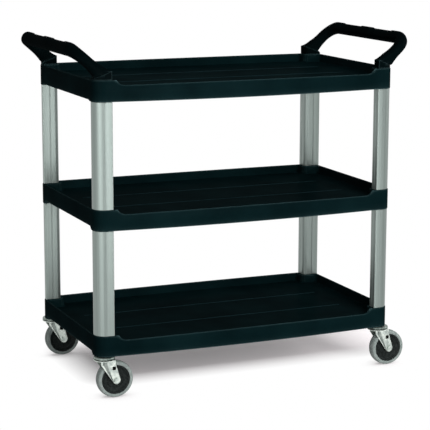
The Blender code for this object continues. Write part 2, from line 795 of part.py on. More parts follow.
def nut_shape():
    """A hexagon nut on the axle, whose six-sided bore clears the bolt at its flats."""
    low = FORK_OUTER + SEAT_GAP
    bore_radius = AXLE_BORE_RADIUS / math.cos(math.pi / NUT_SIDES)
    turns = [2 * math.pi * step / NUT_SIDES for step in range(NUT_SIDES)]
    hexagon = [(NUT_RADIUS * math.cos(a), NUT_RADIUS * math.sin(a)) for a in turns]
    bore = [(bore_radius * math.cos(a), bore_radius * math.sin(a)) for a in turns]
    points, faces = tube(hexagon, bore, low, low + NUT_HEIGHT)
    return [(x, z, y) for x, y, z in points], faces


def make_caster(corner, side, materials):
    """One swivel caster, trailing toward +X: the stem, cap and bearing stay with the shelf, the rest swivels."""
    swivel = make_empty(f"swivel_{corner}", (side[0] * CORNER_X, side[1] * CORNER_Y, 0))
    axle = make_empty(f"axle_{corner}", (CASTER_TRAIL, 0, WHEEL_RADIUS), swivel)
    steel = materials["steel"]
    make_object(f"caster_stem_{corner}", revolve(stem_profile(), PIN_SEGMENTS, "Z"), steel, swivel)
    make_object(f"swivel_cap_{corner}", revolve(cap_profile(), CAP_SEGMENTS, "Z"), steel, swivel)
    bearing = revolve(bearing_profile(), BEARING_SEGMENTS, "Z")
    make_object(f"swivel_bearing_{corner}", bearing, materials["bearing"], swivel)
    make_fork(f"fork_{corner}", steel, swivel)
    make_object(f"axle_bolt_{corner}", revolve(axle_profile(), PIN_SEGMENTS, "Y"), steel, axle)
    make_object(f"axle_nut_{corner}", nut_shape(), steel, axle)
    sleeve_half = FORK_INNER - SEAT_GAP
    sleeve = ring_profile(AXLE_BORE_RADIUS, SLEEVE_RADIUS, -sleeve_half, sleeve_half)
    make_object(f"axle_sleeve_{corner}", revolve(sleeve, PIN_SEGMENTS, "Y"), steel, axle)
    hub = revolve(hub_profile(), WHEEL_SEGMENTS, "Y", flat_down=True)
    make_object(f"hub_{corner}", hub, materials["hub"], axle)
    tyre = revolve(tyre_profile(), WHEEL_SEGMENTS, "Y", flat_down=True)
    make_object(f"tyre_{corner}", tyre, materials["rubber"], axle)


def main():
    for obj in list(bpy.data.objects):
        bpy.data.objects.remove(obj)
    materials = {
        "plastic": make_material("black_polypropylene", (0.012, 0.016, 0.017), 0.42, 0),
        "aluminium": make_material("anodised_aluminium", (0.62, 0.65, 0.64), 0.35, 1),
        "steel": make_material("zinc_plated_steel", (0.68, 0.70, 0.68), 0.30, 1),
        "bearing": make_material("oiled_bearing_steel", (0.12, 0.12, 0.11), 0.40, 1),
        "hub": make_material("black_nylon", (0.02, 0.022, 0.022), 0.50, 0),
        "rubber": make_material("grey_rubber", (0.26, 0.30, 0.29), 0.75, 0),
    }
    shelves = (
        ("bottom_shelf", 0, True, False, True),
        ("middle_shelf", 1, True, True, False),
        ("top_shelf", 2, True, True, False),
    )
    for name, level, upper, lower, casters in shelves:
        base = SHELF_BASE + level * TIER_PITCH
        make_shelf(name, base, materials["plastic"], upper, lower, casters)
    make_uprights(materials["aluminium"])
    make_handles(materials["plastic"])
    for corner, side in CORNERS.items():
        make_caster(corner, side, materials)
    bpy.context.view_layer.update()


main()
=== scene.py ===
import math

import bmesh
import bpy
from mathutils import Matrix, Vector


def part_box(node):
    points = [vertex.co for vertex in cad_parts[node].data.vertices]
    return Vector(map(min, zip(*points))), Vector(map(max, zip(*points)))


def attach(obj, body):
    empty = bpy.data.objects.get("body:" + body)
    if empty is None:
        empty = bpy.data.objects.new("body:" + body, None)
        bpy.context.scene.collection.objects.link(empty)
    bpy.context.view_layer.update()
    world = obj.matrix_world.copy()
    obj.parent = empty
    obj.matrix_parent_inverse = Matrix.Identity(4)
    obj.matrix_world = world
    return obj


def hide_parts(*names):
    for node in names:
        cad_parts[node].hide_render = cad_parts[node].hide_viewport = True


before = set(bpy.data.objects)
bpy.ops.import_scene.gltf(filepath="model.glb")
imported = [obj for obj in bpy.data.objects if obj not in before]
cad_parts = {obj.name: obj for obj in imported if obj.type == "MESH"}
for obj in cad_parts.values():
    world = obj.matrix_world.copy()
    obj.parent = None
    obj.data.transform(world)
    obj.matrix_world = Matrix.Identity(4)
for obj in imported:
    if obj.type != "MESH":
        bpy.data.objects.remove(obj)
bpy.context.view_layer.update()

# Shelf moulding, in metres
HALF_LENGTH = 0.4425
HALF_WIDTH = 0.249
SIDE_BOW = 0.005
CORNER_HEIGHT = 0.057
CORNER_RADIUS = 0.033
BLOCK_LENGTH = 0.055
BLOCK_WIDTH = 0.044
BLOCK_ROUNDING = 0.014
WALL_FILLET = 0.007
FRONT_LIP_HEIGHT = 0.0435
LIP_SWEEP = 0.030
TRAY_FLOOR = 0.033
FLOOR_UNDERSIDE = 0.029
SHELL_WALL = 0.0045
TRAY_DRAFT = 0.004
SKIRT_SAG = 0.003
END_SKIRT_LIFT = 0.009
TOP_END_SKIRT_LIFT = 0.003
BEAD_ROWS = 2
BEAD_PITCH = 0.163
BEAD_REACH = 0.3675
BEAD_FADE = 0.016
BEAD_FADE_SHARES = (0, 1 / 3, 0.7, 1)
BEAD_HEIGHT = 0.0012
BEAD_ROOT_DEPTH = 0.0006
BEAD_ROOT_HALF = 0.0036
RIB_BOTTOM = 0.007
RIB_HALF = 0.0015
RIB_TAPER = 0.0005
RIB_EDGE = 0.0006
RIB_EDGE_SHARE = 0.3
RIB_ROOT = 0.001
RIB_BAYS_LONG = 8
RIB_BAYS_WIDE = 3

# Upright extrusion
UPRIGHT_LENGTHWISE = 0.048
UPRIGHT_CROSSWISE = 0.0375
UPRIGHT_INSET = 0.0015
UPRIGHT_OUTER_RADIUS = 0.031
UPRIGHT_INNER_RADIUS = 0.014
UPRIGHT_EDGE_RADIUS = 0.0012
UPRIGHT_WALL = 0.0025
UPRIGHT_BEVEL = 0.0004
GROOVE_WIDTH = 0.003
GROOVE_DEPTH = 0.0012
GROOVE_SECTION = ((-1, 0), (-0.7, 0.7), (0, 1), (0.7, 0.7), (1, 0))
GROOVE_FROM_END = 0.021
GROOVE_FROM_SIDE = 0.013

# Handle moulding
HANDLE_RISE = 0.0969
HANDLE_REACH = 0.0629
HANDLE_LEAN = math.radians(54)
LEAN_RADIUS = 0.030
HANDLE_CORNER_RADIUS = 0.045
FOOT_STEP_HEIGHT = 0.024
FOOT_HEEL_HEIGHT = 0.005
FOOT_EDGE_RADIUS = 0.0015
FOOT_SEAT_EDGE = 0.0005
FOOT_SEAT_SHARES = (0.985, 0.98)
FOOT_STEP_EDGE = 0.0010
FOOT_STEP_SHARES = (0.975, 0.97)
NECK_THICKNESS = 0.037
LEG_THICKNESS = 0.029
LEG_WIDTH = 0.034
LEG_CORNER_RADIUS = 0.0125
LEG_HOLLOW_POWER = 2.2
GRIP_DEPTH = 0.037
GRIP_THICKNESS = 0.030
GRIP_TILT = math.radians(22)
GRIP_RECESS = 0.0022
LAND_END = 0.034
LAND_MIDDLE = 0.060
LAND_RAMP = 0.006
ROOT_STEPS = 10
LEG_STEPS = 6
BEND_STEPS = 16
LAND_STEPS = 4

# Caster
WHEEL_RADIUS = 0.0508
CASTER_TRAIL = 0.028
CROWN_BOTTOM = 0.1061
CROWN_TOP = 0.1086
CROWN_RADIUS = 0.0295
CROWN_LOWER_EDGE = ((0.0006, 0), (0, 0.0005))
CROWN_UPPER_EDGE = ((0, 0.0008), (0.0004, 0.0002), (0.0010, 0))
BEARING_BOTTOM = 0.1089
BEARING_TOP = 0.1144
CAP_TOP = 0.1167
CAP_WALL = 0.002
CAP_HEIGHT = 0.005
CAP_SHOULDER_INSIDE = ((0.0255, 0), (0.0268, 0.0008))
CAP_SHOULDER_OUTSIDE = ((0.0286, 0.0016), (0.0278, 0.0005), (0.0266, 0))
CAP_SKIRT_INSIDE = 0.0278
CAP_SKIRT_EDGE = ((0.0003, 0), (0, 0.0004))
FORK_INNER = 0.0166
FORK_OUTER = 0.0191
FORK_HEEL = 0.0155
FORK_TOE = 0.026
FORK_SHOULDER = 0.010
FORK_END_RADIUS = 0.011
FORK_BEVEL = 0.0004
FORK_ROOT = 0.0008
FORK_EDGE = 0.0005
FLANGE_REACH = 0.02
FLANGE_DIP = 0.0019
FLANGE_FOOT_SHARE = 0.2
# Rings across the pressed face: how far in at the rear, how far in all round, and how deep
FLANGE_STEPS = (
    (0.0003, 0.0004, 0),
    (0.0050, 0.0006, 0),
    (0.0068, 0.0008, FLANGE_DIP),
    (0.0160, 0.0010, FLANGE_DIP),
    (0.0200, 0.0012, 0),
)
OUTLINE_SPACING = 0.004
SLOT_SIZE = 0.010
SLOT_DROP = 0.022
SLOT_OFFSET = 0.0215
STEM_HOLE_RADIUS = 0.0058
BEARING_RADIUS = 0.0185
BEARING_HALF_WIDTH = 0.005
BEARING_POINTS = 16
BOLT_HEAD_RADIUS = 0.0075
BOLT_HEAD_HEIGHT = 0.004
BOLT_HEAD_CHAMFER = 0.0012
BOLT_PROUD = 0.0062
SHANK_RADIUS = 0.0039
SHANK_CHAMFER = 0.0006
SHANK_ROOT = 0.001
SHANK_CENTRE_HOLE = 0.0006
NUT_RADIUS = 0.0078
NUT_HEIGHT = 0.005
NUT_CHAMFER = 0.0010
NUT_BORE = 0.0043
HEXAGON_POINTS = 24
HEXAGON_END_SHARE = 0.88

SEAT_GAP = 0.0003
CORNER_X = HALF_LENGTH - UPRIGHT_INSET - UPRIGHT_LENGTHWISE / 2
CORNER_Y = HALF_WIDTH - UPRIGHT_INSET - UPRIGHT_CROSSWISE / 2
CORNERS = {
    "front_left": (-1, -1),
    "front_right": (1, -1),
    "rear_left": (-1, 1),
    "rear_right": (1, 1),
}


# Colour and material nodes
def linear(hex_colour):
    """A linear RGBA colour from an sRGB hex value."""
    channels = []
    for start in (1, 3, 5):
        value = int(hex_colour[start:start + 2], 16) / 255
        channels.append(value / 12.92 if value <= 0.04045 else ((value + 0.055) / 1.055) ** 2.4)
    return (*channels, 1)


def add_node(tree, kind, settings=None, values=None, links=None, stops=()):
    """A node with its settings, socket values, links from other nodes' sockets and a ramp's two stops."""
    node = tree.nodes.new(kind)
    for name, value in (settings or {}).items():
        setattr(node, name, value)
    for name, value in (values or {}).items():
        node.inputs[name].default_value = value
    for name, socket in (links or {}).items():
        tree.links.new(socket, node.inputs[name])
    for index, (position, colour) in enumerate(stops):
        node.color_ramp.elements[index].position = position
        node.color_ramp.elements[index].color = colour
    return node


def new_material(name):
    """A bare node material, its node tree and the socket that gives places on the object, in metres."""
    material = bpy.data.materials.new(name)
    material.use_nodes = True
    tree = material.node_tree
    tree.nodes.clear()
    place = add_node(tree, "ShaderNodeTexCoord").outputs["Object"]
    return material, tree, place


def grey(value):
    return (value, value, value, 1)


def per_mm(millimetres):
    """The texture scale at which one feature is that many millimetres across, on places in metres."""
    return 1000 / millimetres


def mottled(tree, place, size, detail, tints, sheen):
    """A colour and a roughness that drift together in patches of that size in mm, each between two stops."""
    patches = add_node(
        tree,
        "ShaderNodeTexNoise",
        values={"Scale": per_mm(size), "Detail": detail},
        links={"Vector": place},
    )
    links = {"Fac": patches.outputs["Fac"]}
    stops = [(position, linear(tint)) for position, tint in tints]
    colour = add_node(tree, "ShaderNodeValToRGB", links=links, stops=stops)
    stops = [(position, grey(value)) for position, value in sheen]
    roughness = add_node(tree, "ShaderNodeValToRGB", links=links, stops=stops)
    return colour.outputs["Color"], roughness.outputs["Color"]


def moulded_polypropylene(name, dark, light, edge_highlight):
    """Black polypropylene from a spark-eroded mould: a satin skin, a faint green cast, a fine pebble and a
    painted highlight on its proud edges.
    """
    material, tree, place = new_material(name)
    skin, roughness = mottled(
        tree,
        place,
        size=140,
        detail=4,
        tints=((0.35, dark), (0.68, light)),
        sheen=((0.3, 0.46), (0.7, 0.56)),
    )
    # Painted highlight: a paler grey on the places within 5 mm of an edge that also stand proud, where
    # rounded rims catch the light.
    surface = add_node(tree, "ShaderNodeNewGeometry").outputs
    rounded = add_node(tree, "ShaderNodeBevel", {"samples": 8}, values={"Radius": 0.005})
    turn = add_node(
        tree,
        "ShaderNodeVectorMath",
        {"operation": "DOT_PRODUCT"},
        links={0: rounded.outputs["Normal"], 1: surface["True Normal"]},
    )
    edge = add_node(
        tree,
        "ShaderNodeValToRGB",
        links={"Fac": turn.outputs["Value"]},
        stops=((0.87, grey(0.9)), (0.995, grey(0))),
    )
    proud = add_node(
        tree,
        "ShaderNodeValToRGB",
        links={"Fac": surface["Pointiness"]},
        stops=((0.5005, grey(0)), (0.504, grey(1))),
    )
    highlight_mask = add_node(
        tree,
        "ShaderNodeMath",
        {"operation": "MULTIPLY"},
        links={0: edge.outputs["Color"], 1: proud.outputs["Color"]},
    )
    colour = add_node(
        tree,
        "ShaderNodeMixRGB",
        values={"Color2": linear(edge_highlight)},
        links={"Fac": highlight_mask.outputs["Value"], "Color1": skin},
    )
    # The real pebble is about 0.3 mm across, drawn at 2.2 mm so that it shows.
    pebble = add_node(
        tree, "ShaderNodeTexNoise", values={"Scale": per_mm(2.2), "Detail": 2}, links={"Vector": place}
    )
    bump = add_node(
        tree,
        "ShaderNodeBump",
        values={"Strength": 0.10, "Distance": 0.0004},
        links={"Height": pebble.outputs["Fac"]},
    )
    shader = add_node(
        tree,
        "ShaderNodeBsdfPrincipled",
        values={
            "IOR": 1.49,
            "Specular IOR Level": 0,
            "Coat Weight": 0.008,
            "Coat Roughness": 0.3,
            "Coat IOR": 1.49,
        },
        links={
            "Base Color": colour.outputs["Color"],
            "Roughness": roughness,
            "Normal": bump.outputs["Normal"],
        },
    )
    add_node(tree, "ShaderNodeOutputMaterial", links={"Surface": shader.outputs["BSDF"]})
    return material


def anodised_aluminium():
    """Clear anodised aluminium from an extrusion die: a silky pale grey with faint lines along its draw."""
    material, tree, place = new_material("anodised_extruded_aluminium")
    # Die lines are about 0.2 mm apart, drawn at 1.2 mm so that they show, and run the upright's height.
    lines_place = add_node(
        tree,
        "ShaderNodeMapping",
        values={"Scale": (per_mm(1.2), per_mm(1.2), per_mm(900))},
        links={"Vector": place},
    )
    lines = add_node(
        tree,
        "ShaderNodeTexNoise",
        values={"Scale": 1, "Detail": 3},
        links={"Vector": lines_place.outputs["Vector"]},
    )
    colour = add_node(
        tree,
        "ShaderNodeValToRGB",
        links={"Fac": lines.outputs["Fac"]},
        stops=((0.3, linear("#747d7a")), (0.7, linear("#8b9591"))),
    )
    roughness = add_node(
        tree,
        "ShaderNodeValToRGB",
        links={"Fac": lines.outputs["Fac"]},
        stops=((0.25, grey(0.36)), (0.75, grey(0.48))),
    )
    bump = add_node(
        tree,
        "ShaderNodeBump",
        values={"Strength": 0.06, "Distance": 0.0002},
        links={"Height": lines.outputs["Fac"]},
    )
    shader = add_node(
        tree,
        "ShaderNodeBsdfPrincipled",
        values={"Metallic": 1},
        links={
            "Base Color": colour.outputs["Color"],
            "Roughness": roughness.outputs["Color"],
            "Normal": bump.outputs["Normal"],
        },
    )
    add_node(tree, "ShaderNodeOutputMaterial", links={"Surface": shader.outputs["BSDF"]})
    return material


def zinc_plated_steel(name, dark, light):
    """Zinc plating on pressed steel: a pale metal with soft cloudy spangle, painted darker in its recesses as
    shade.
    """
    material, tree, place = new_material(name)
    plate, roughness = mottled(
        tree,
        place,
        size=9,
        detail=5,
        tints=((0.35, dark), (0.65, light)),
        sheen=((0.3, 0.32), (0.7, 0.48)),
    )
    # Painted shade: the pressed recesses are darkened toward a dull grey.
    recess_shade = add_node(
        tree,
        "ShaderNodeValToRGB",
        links={"Fac": add_node(tree, "ShaderNodeNewGeometry").outputs["Pointiness"]},
        stops=((0.455, grey(0.9)), (0.498, grey(0))),
    )
    colour = add_node(
        tree,
        "ShaderNodeMixRGB",
        values={"Color2": linear("#414a47")},
        links={"Fac": recess_shade.outputs["Color"], "Color1": plate},
    )
    shader = add_node(
        tree,
        "ShaderNodeBsdfPrincipled",
        values={"Metallic": 1},
        links={"Base Color": colour.outputs["Color"], "Roughness": roughness},
    )
    add_node(tree, "ShaderNodeOutputMaterial", links={"Surface": shader.outputs["BSDF"]})
    return material


def oiled_bearing_steel():
    """Hardened bearing steel under a film of oil: a dark, slick metal with uneven sheen."""
    material, tree, place = new_material("oiled_turned_bearing_steel")
    colour, roughness = mottled(
        tree,
        place,
        size=6,
        detail=3,
        tints=((0.35, "#3a3d3b"), (0.65, "#5d605c")),
        sheen=((0.3, 0.24), (0.7, 0.46)),
    )
    shader = add_node(
        tree,
        "ShaderNodeBsdfPrincipled",
        values={"Metallic": 1},
        links={"Base Color": colour, "Roughness": roughness},
    )
    add_node(tree, "ShaderNodeOutputMaterial", links={"Surface": shader.outputs["BSDF"]})
    return material


def moulded_nylon():
    """Black glass-filled nylon, injection moulded: a dull dark grey with streaks where the fibres float."""
    material, tree, place = new_material("black_moulded_nylon")
    colour, roughness = mottled(
        tree,
        place,
        size=5,
        detail=4,
        tints=((0.35, "#171b1a"), (0.7, "#2a2f2e")),
        sheen=((0.3, 0.42), (0.7, 0.58)),
    )
    shader = add_node(
        tree,
        "ShaderNodeBsdfPrincipled",
        values={"IOR": 1.53, "Specular IOR Level": 0, "Coat Weight": 0.08, "Coat Roughness": 0.4},
        links={"Base Color": colour, "Roughness": roughness},
    )
    add_node(tree, "ShaderNodeOutputMaterial", links={"Surface": shader.outputs["BSDF"]})
    return material


def moulded_rubber():
    """Grey non-marking rubber, compression moulded: a matt tread with a dusty bloom."""
    material, tree, place = new_material("grey_moulded_rubber")
    colour, roughness = mottled(
        tree,
        place,
        size=12,
        detail=5,
        tints=((0.35, "#757f7c"), (0.68, "#8e9894")),
        sheen=((0.3, 0.68), (0.7, 0.82)),
    )
    # The mould's grit is about 0.2 mm across, drawn at 1.2 mm so that it shows.
    grit = add_node(
        tree, "ShaderNodeTexNoise", values={"Scale": per_mm(1.2), "Detail": 2}, links={"Vector": place}
    )
    bump = add_node(
        tree,
        "ShaderNodeBump",
        values={"Strength": 0.12, "Distance": 0.0003},
        links={"Height": grit.outputs["Fac"]},
    )
    shader = add_node(
        tree,
        "ShaderNodeBsdfPrincipled",
        values={"IOR": 1.52},
        links={
            "Base Color": colour,
            "Roughness": roughness,
            "Normal": bump.outputs["Normal"],
        },
    )
    add_node(tree, "ShaderNodeOutputMaterial", links={"Surface": shader.outputs["BSDF"]})
    return material


# The last colour of each plastic is its painted edge highlight.
PLASTIC = (
    "black_polypropylene",
    moulded_polypropylene("black_moulded_polypropylene", "#051416", "#091c1e", "#3d5456"),
)
# The painted edge highlight is fainter on the low beads than on the rims.
BEAD_PLASTIC = (
    "black_polypropylene",
    moulded_polypropylene("black_moulded_polypropylene_beads", "#051416", "#091c1e", "#22363a"),
)
# The handles are drawn blacker than the shelves, with their own painted edge highlight.
HANDLE_PLASTIC = (
    "black_polypropylene",
    moulded_polypropylene("jet_black_moulded_polypropylene", "#020809", "#050e0f", "#334547"),
)
ALUMINIUM = ("anodised_aluminium", anodised_aluminium())
ZINC = ("zinc_plated_steel", zinc_plated_steel("zinc_plated_pressed_steel", "#a3ada8", "#cdd4cd"))
# The swivel caps take a darker copy of the zinc: painted shade, as the shelf above shadows them.
SHADED_ZINC = ("zinc_plated_steel", zinc_plated_steel("shaded_zinc_pressed_steel", "#5f6a65", "#8b948e"))
BEARING = ("oiled_bearing_steel", oiled_bearing_steel())
NYLON = ("black_nylon", moulded_nylon())
RUBBER = ("grey_rubber", moulded_rubber())


# Mesh helpers
def add_piece(name, shells, finish, body, replaced=None, crease=32):
    """One object from closed shells, smooth except where faces meet at more than the crease, in degrees."""
    mesh = bpy.data.meshes.new(name)
    form = bmesh.new()
    for points, faces in shells:
        made = [form.verts.new(point) for point in points]
        for face in faces:
            form.faces.new([made[index] for index in face])
    bmesh.ops.recalc_face_normals(form, faces=form.faces)
    for face in form.faces:
        face.smooth = len(face.verts) == 4
    for edge in form.edges:
        edge.smooth = edge.calc_face_angle(0) < math.radians(crease)
    form.to_mesh(mesh)
    form.free()
    slot, material = finish
    mesh.materials.append(material)
    piece = bpy.data.objects.new(name, mesh)
    bpy.context.scene.collection.objects.link(piece)
    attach(piece, body)
    if replaced:
        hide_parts(replaced)
    return piece


def loft(rings, capped=True):
    """Faces between rings of equal count, with both ends capped or joined to make a closed loop."""
    count = len(rings[0])
    points = [point for ring in rings for point in ring]
    faces = []
    last = len(rings) - 1 if capped else len(rings)
    for level in range(last):
        here = level * count
        above = (level + 1) % len(rings) * count
        for step in range(count):
            after = (step + 1) % count
            faces.append((here + step, here + after, above + after, above + step))
    if capped:
        faces.append(tuple(reversed(range(count))))
        faces.append(tuple(range(last * count, (last + 1) * count)))
    return points, faces


def arc(centre, radius, start, end, steps):
    points = []
    for step in range(steps + 1):
        angle = start + (end - start) * step / steps
        points.append((centre[0] + radius * math.cos(angle), centre[1] + radius * math.sin(angle)))
    return points


def spun(profile, axis, centre, segments):
    """A closed profile of (radius, height) points turned about an axis through the centre."""
    rings = []
    for step in range(segments):
        angle = 2 * math.pi * (step + 0.5) / segments
        cos, sin = math.cos(angle), math.sin(angle)
        if axis == "Z":
            ring = [Vector((r * cos, r * sin, h)) for r, h in profile]
        else:
            ring = [Vector((r * cos, h, r * sin)) for r, h in profile]
        rings.append([centre + point for point in ring])
    return loft(rings, capped=False)


def mirrored_profile(upper):
    return upper + [(radius, -height) for radius, height in reversed(upper)]


# Shelf moulding
END_STATIONS_OUTER = (0, 0.04, 0.08, 0.12, 0.15, 0.165, 0.177, 0.188, 0.197, 0.205, 0.211)
END_STATIONS_TRAY = (0, 0.04, 0.08, 0.12, 0.15, 0.163, 0.173, 0.182, 0.190, 0.196, 0.1975)
SWEEP_OUTER = (0.3872, 0.3840, 0.3795, 0.3740, 0.3670, 0.3585)
SWEEP_TRAY = (0.3800, 0.3782, 0.3752, 0.3710, 0.3652, 0.3580)
SIDE_STATIONS = (0.35, 0.32, 0.28, 0.24, 0.20, 0.16, 0.12, 0.08, 0.04, 0)
LIFTED_STATIONS = 9
CORNER_POINTS = 13

# Rounded edges of the shelf's skin: how far in or out each ring lies, and how far up or down
FLOOR_ROOT = ((0.0030, 0), (0.0006, 0.0008), (0, 0.0030))
SKIRT_INSIDE = ((0, 0.0012), (-0.0010, 0))
SKIRT_OUTSIDE = ((0.0015, 0), (0.0004, 0.0004), (0, 0.0015))
RIM_OUTSIDE = ((0, 0.0032), (0.0002, 0.0016), (0.0008, 0.0005), (0.0018, 0))
RIM_INSIDE = ((0.0030, 0), (0.0040, 0.0005), (SHELL_WALL, 0.0018))
TRAY_FOOT = ((-0.0008, 0.0050), (0.0006, 0.0014), (0.0024, 0.0003), (0.0045, 0))


def bow(x, run):
    return SIDE_BOW * (1 - (x / run) ** 2)


def outer_quarter(inset):
    """A quarter of the shelf's outside, from the middle of the end round to the middle of the long side."""
    quarter = [(HALF_LENGTH - inset, y) for y in END_STATIONS_OUTER]
    centre = (HALF_LENGTH - CORNER_RADIUS, HALF_WIDTH - CORNER_RADIUS)
    quarter += arc(centre, CORNER_RADIUS - inset, 0, math.pi / 2, CORNER_POINTS - 1)
    quarter += [(x, HALF_WIDTH - inset + bow(x, centre[0])) for x in SWEEP_OUTER + SIDE_STATIONS]
    return quarter


def tray_quarter(wall):
    """A quarter of the tray's inside, stepped in round the corner block, with the outside's point count."""
    deeper = wall - SHELL_WALL
    block_x = HALF_LENGTH - BLOCK_LENGTH - deeper
    block_y = HALF_WIDTH - BLOCK_WIDTH - deeper
    end_x = HALF_LENGTH - wall
    run = HALF_LENGTH - BLOCK_LENGTH
    side_y = HALF_WIDTH - wall
    rounding = BLOCK_ROUNDING + deeper
    shrink_x = 1 - deeper / (run - WALL_FILLET)
    shrink_y = 1 - deeper / (HALF_WIDTH - BLOCK_WIDTH - WALL_FILLET)
    quarter = [(end_x, y * shrink_y) for y in END_STATIONS_TRAY]
    quarter += arc((end_x - WALL_FILLET, block_y - WALL_FILLET), WALL_FILLET, 0, math.pi / 2, steps=3)
    middle = (block_x + rounding, block_y + rounding)
    quarter += arc(middle, rounding, math.pi * 1.5, math.pi, steps=4)
    far = bow(block_x - WALL_FILLET, run)
    quarter += arc((block_x - WALL_FILLET, side_y + far - WALL_FILLET), WALL_FILLET, 0, math.pi / 2, steps=3)
    quarter += [(x * shrink_x, side_y + bow(x, run)) for x in SWEEP_TRAY + SIDE_STATIONS]
    return quarter


def full_ring(quarter):
    """The whole ring from its quarter, as (x, y, station), with the points on the axes used once."""
    marked = [(x, y, index) for index, (x, y) in enumerate(quarter)]
    half = marked + [(-x, y, index) for x, y, index in reversed(marked[:-1])]
    return half + [(x, -y, index) for x, y, index in reversed(half[1:-1])]


def rim_height(y, station):
    """The rim's height: full but for the front, where it drops from each block in a hollow sweep."""
    along = station - len(END_STATIONS_OUTER) - CORNER_POINTS
    if y > 0 or along < 0:
        return CORNER_HEIGHT
    if along >= len(SWEEP_OUTER):
        return FRONT_LIP_HEIGHT
    share = min(1, (HALF_LENGTH - BLOCK_LENGTH - SWEEP_OUTER[along]) / LIP_SWEEP)
    drop = CORNER_HEIGHT - FRONT_LIP_HEIGHT
    return FRONT_LIP_HEIGHT + drop * (1 - share) ** 2


def skirt_bottom(x, station, end_lift):
    """The skirt's lower edge: lifted along the ends, level at the blocks, sagging along the sides."""
    if station < LIFTED_STATIONS:
        return end_lift
    if station < len(END_STATIONS_OUTER) + CORNER_POINTS:
        return 0
    run = HALF_LENGTH - BLOCK_LENGTH
    return -SKIRT_SAG * (1 - min(1, abs(x) / run) ** 2)


def shelf_shell(base, end_lift):
    """The shelf as one closed skin, from the floor's underside down the skirt, up and into the tray."""

    def at_level(quarter, level):
        return [Vector((x, y, base + level)) for x, y, _ in full_ring(quarter)]

    def above_bottom(quarter, rise):
        ring = full_ring(quarter)
        return [Vector((x, y, base + skirt_bottom(x, station, end_lift) + rise)) for x, y, station in ring]

    def below_rim(quarter, drop):
        return [Vector((x, y, base + rim_height(y, station) - drop)) for x, y, station in full_ring(quarter)]

    foot = SHELL_WALL + TRAY_DRAFT
    rings = [at_level(tray_quarter(SHELL_WALL + inset), FLOOR_UNDERSIDE - drop) for inset, drop in FLOOR_ROOT]
    rings += [above_bottom(tray_quarter(SHELL_WALL + inset), rise) for inset, rise in SKIRT_INSIDE]
    rings += [above_bottom(outer_quarter(inset), rise) for inset, rise in SKIRT_OUTSIDE]
    rings += [below_rim(outer_quarter(inset), drop) for inset, drop in RIM_OUTSIDE]
    rings += [below_rim(tray_quarter(wall), drop) for wall, drop in RIM_INSIDE]
    rings += [at_level(tray_quarter(foot + inset), TRAY_FLOOR + rise) for inset, rise in TRAY_FOOT]
    return loft(rings)


def bead_shells(base):
    """Low rounded beads along the tray floor, each running out to nothing at both ends."""
    floor = base + TRAY_FLOOR
    half_section = ((-0.0040, 0), (-0.0031, 0.45), (-0.0016, 0.88))
    section = (*half_section, (0, 1), *((-y, share) for y, share in reversed(half_section)))
    stations = [BEAD_REACH - BEAD_FADE * share for share in BEAD_FADE_SHARES]
    shells = []
    for row in range(BEAD_ROWS):
        middle = (row - (BEAD_ROWS - 1) / 2) * BEAD_PITCH
        rings = []
        for side in (-1, 1):
            for x in stations if side < 0 else reversed(stations):
                rise = math.sin(math.pi / 2 * (BEAD_REACH - x) / BEAD_FADE)
                ring = [(side * x, middle + y, floor + BEAD_HEIGHT * rise * share) for y, share in section]
                for y in (BEAD_ROOT_HALF, -BEAD_ROOT_HALF):
                    ring.append((side * x, middle + y, floor - BEAD_ROOT_DEPTH))
                rings.append(ring)
        shells.append(loft(rings))
    return shells


def tapered_bar(low, high, along):
    """A rib from its corners, a little thinner at its lower edge, as the mould needs to let it go."""
    rings = []
    for z, shrink in ((low[2], RIB_TAPER), (low[2] + RIB_EDGE, RIB_TAPER * RIB_EDGE_SHARE), (high[2], 0)):
        dx, dy = (0, shrink) if along == "X" else (shrink, 0)
        rings.append(
            [
                (low[0] + dx, low[1] + dy, z),
                (high[0] - dx, low[1] + dy, z),
                (high[0] - dx, high[1] - dy, z),
                (low[0] + dx, high[1] - dy, z),
            ]
        )
    return loft(rings)


def rib_shells(base):
    """The ribs under the floor: two lengthwise, and a crosswise one at both ends of every bay."""
    reach_x = HALF_LENGTH - BLOCK_LENGTH - 2 * RIB_HALF
    reach_y = HALF_WIDTH - SHELL_WALL - 2 * RIB_HALF
    bottom = base + RIB_BOTTOM
    top = base + FLOOR_UNDERSIDE + RIB_ROOT
    shells = []
    for row in range(1, RIB_BAYS_WIDE):
        y = -reach_y + 2 * reach_y * row / RIB_BAYS_WIDE
        low, high = (-reach_x, y - RIB_HALF, bottom), (reach_x, y + RIB_HALF, top)
        shells.append(tapered_bar(low, high, "X"))
    for column in range(RIB_BAYS_LONG + 1):
        x = -reach_x + 2 * reach_x * column / RIB_BAYS_LONG
        ending = reach_y + RIB_HALF
        low, high = (x - RIB_HALF, -ending, bottom), (x + RIB_HALF, ending, top)
        shells.append(tapered_bar(low, high, "Y"))
    return shells


def make_shelf(name, base, end_lift):
    add_piece(f"{name}_moulding", [shelf_shell(base, end_lift)], PLASTIC, "frame", name)
    add_piece(f"{name}_floor_beads", bead_shells(base), BEAD_PLASTIC, "frame")
    add_piece(f"{name}_ribs", rib_shells(base), PLASTIC, "frame")


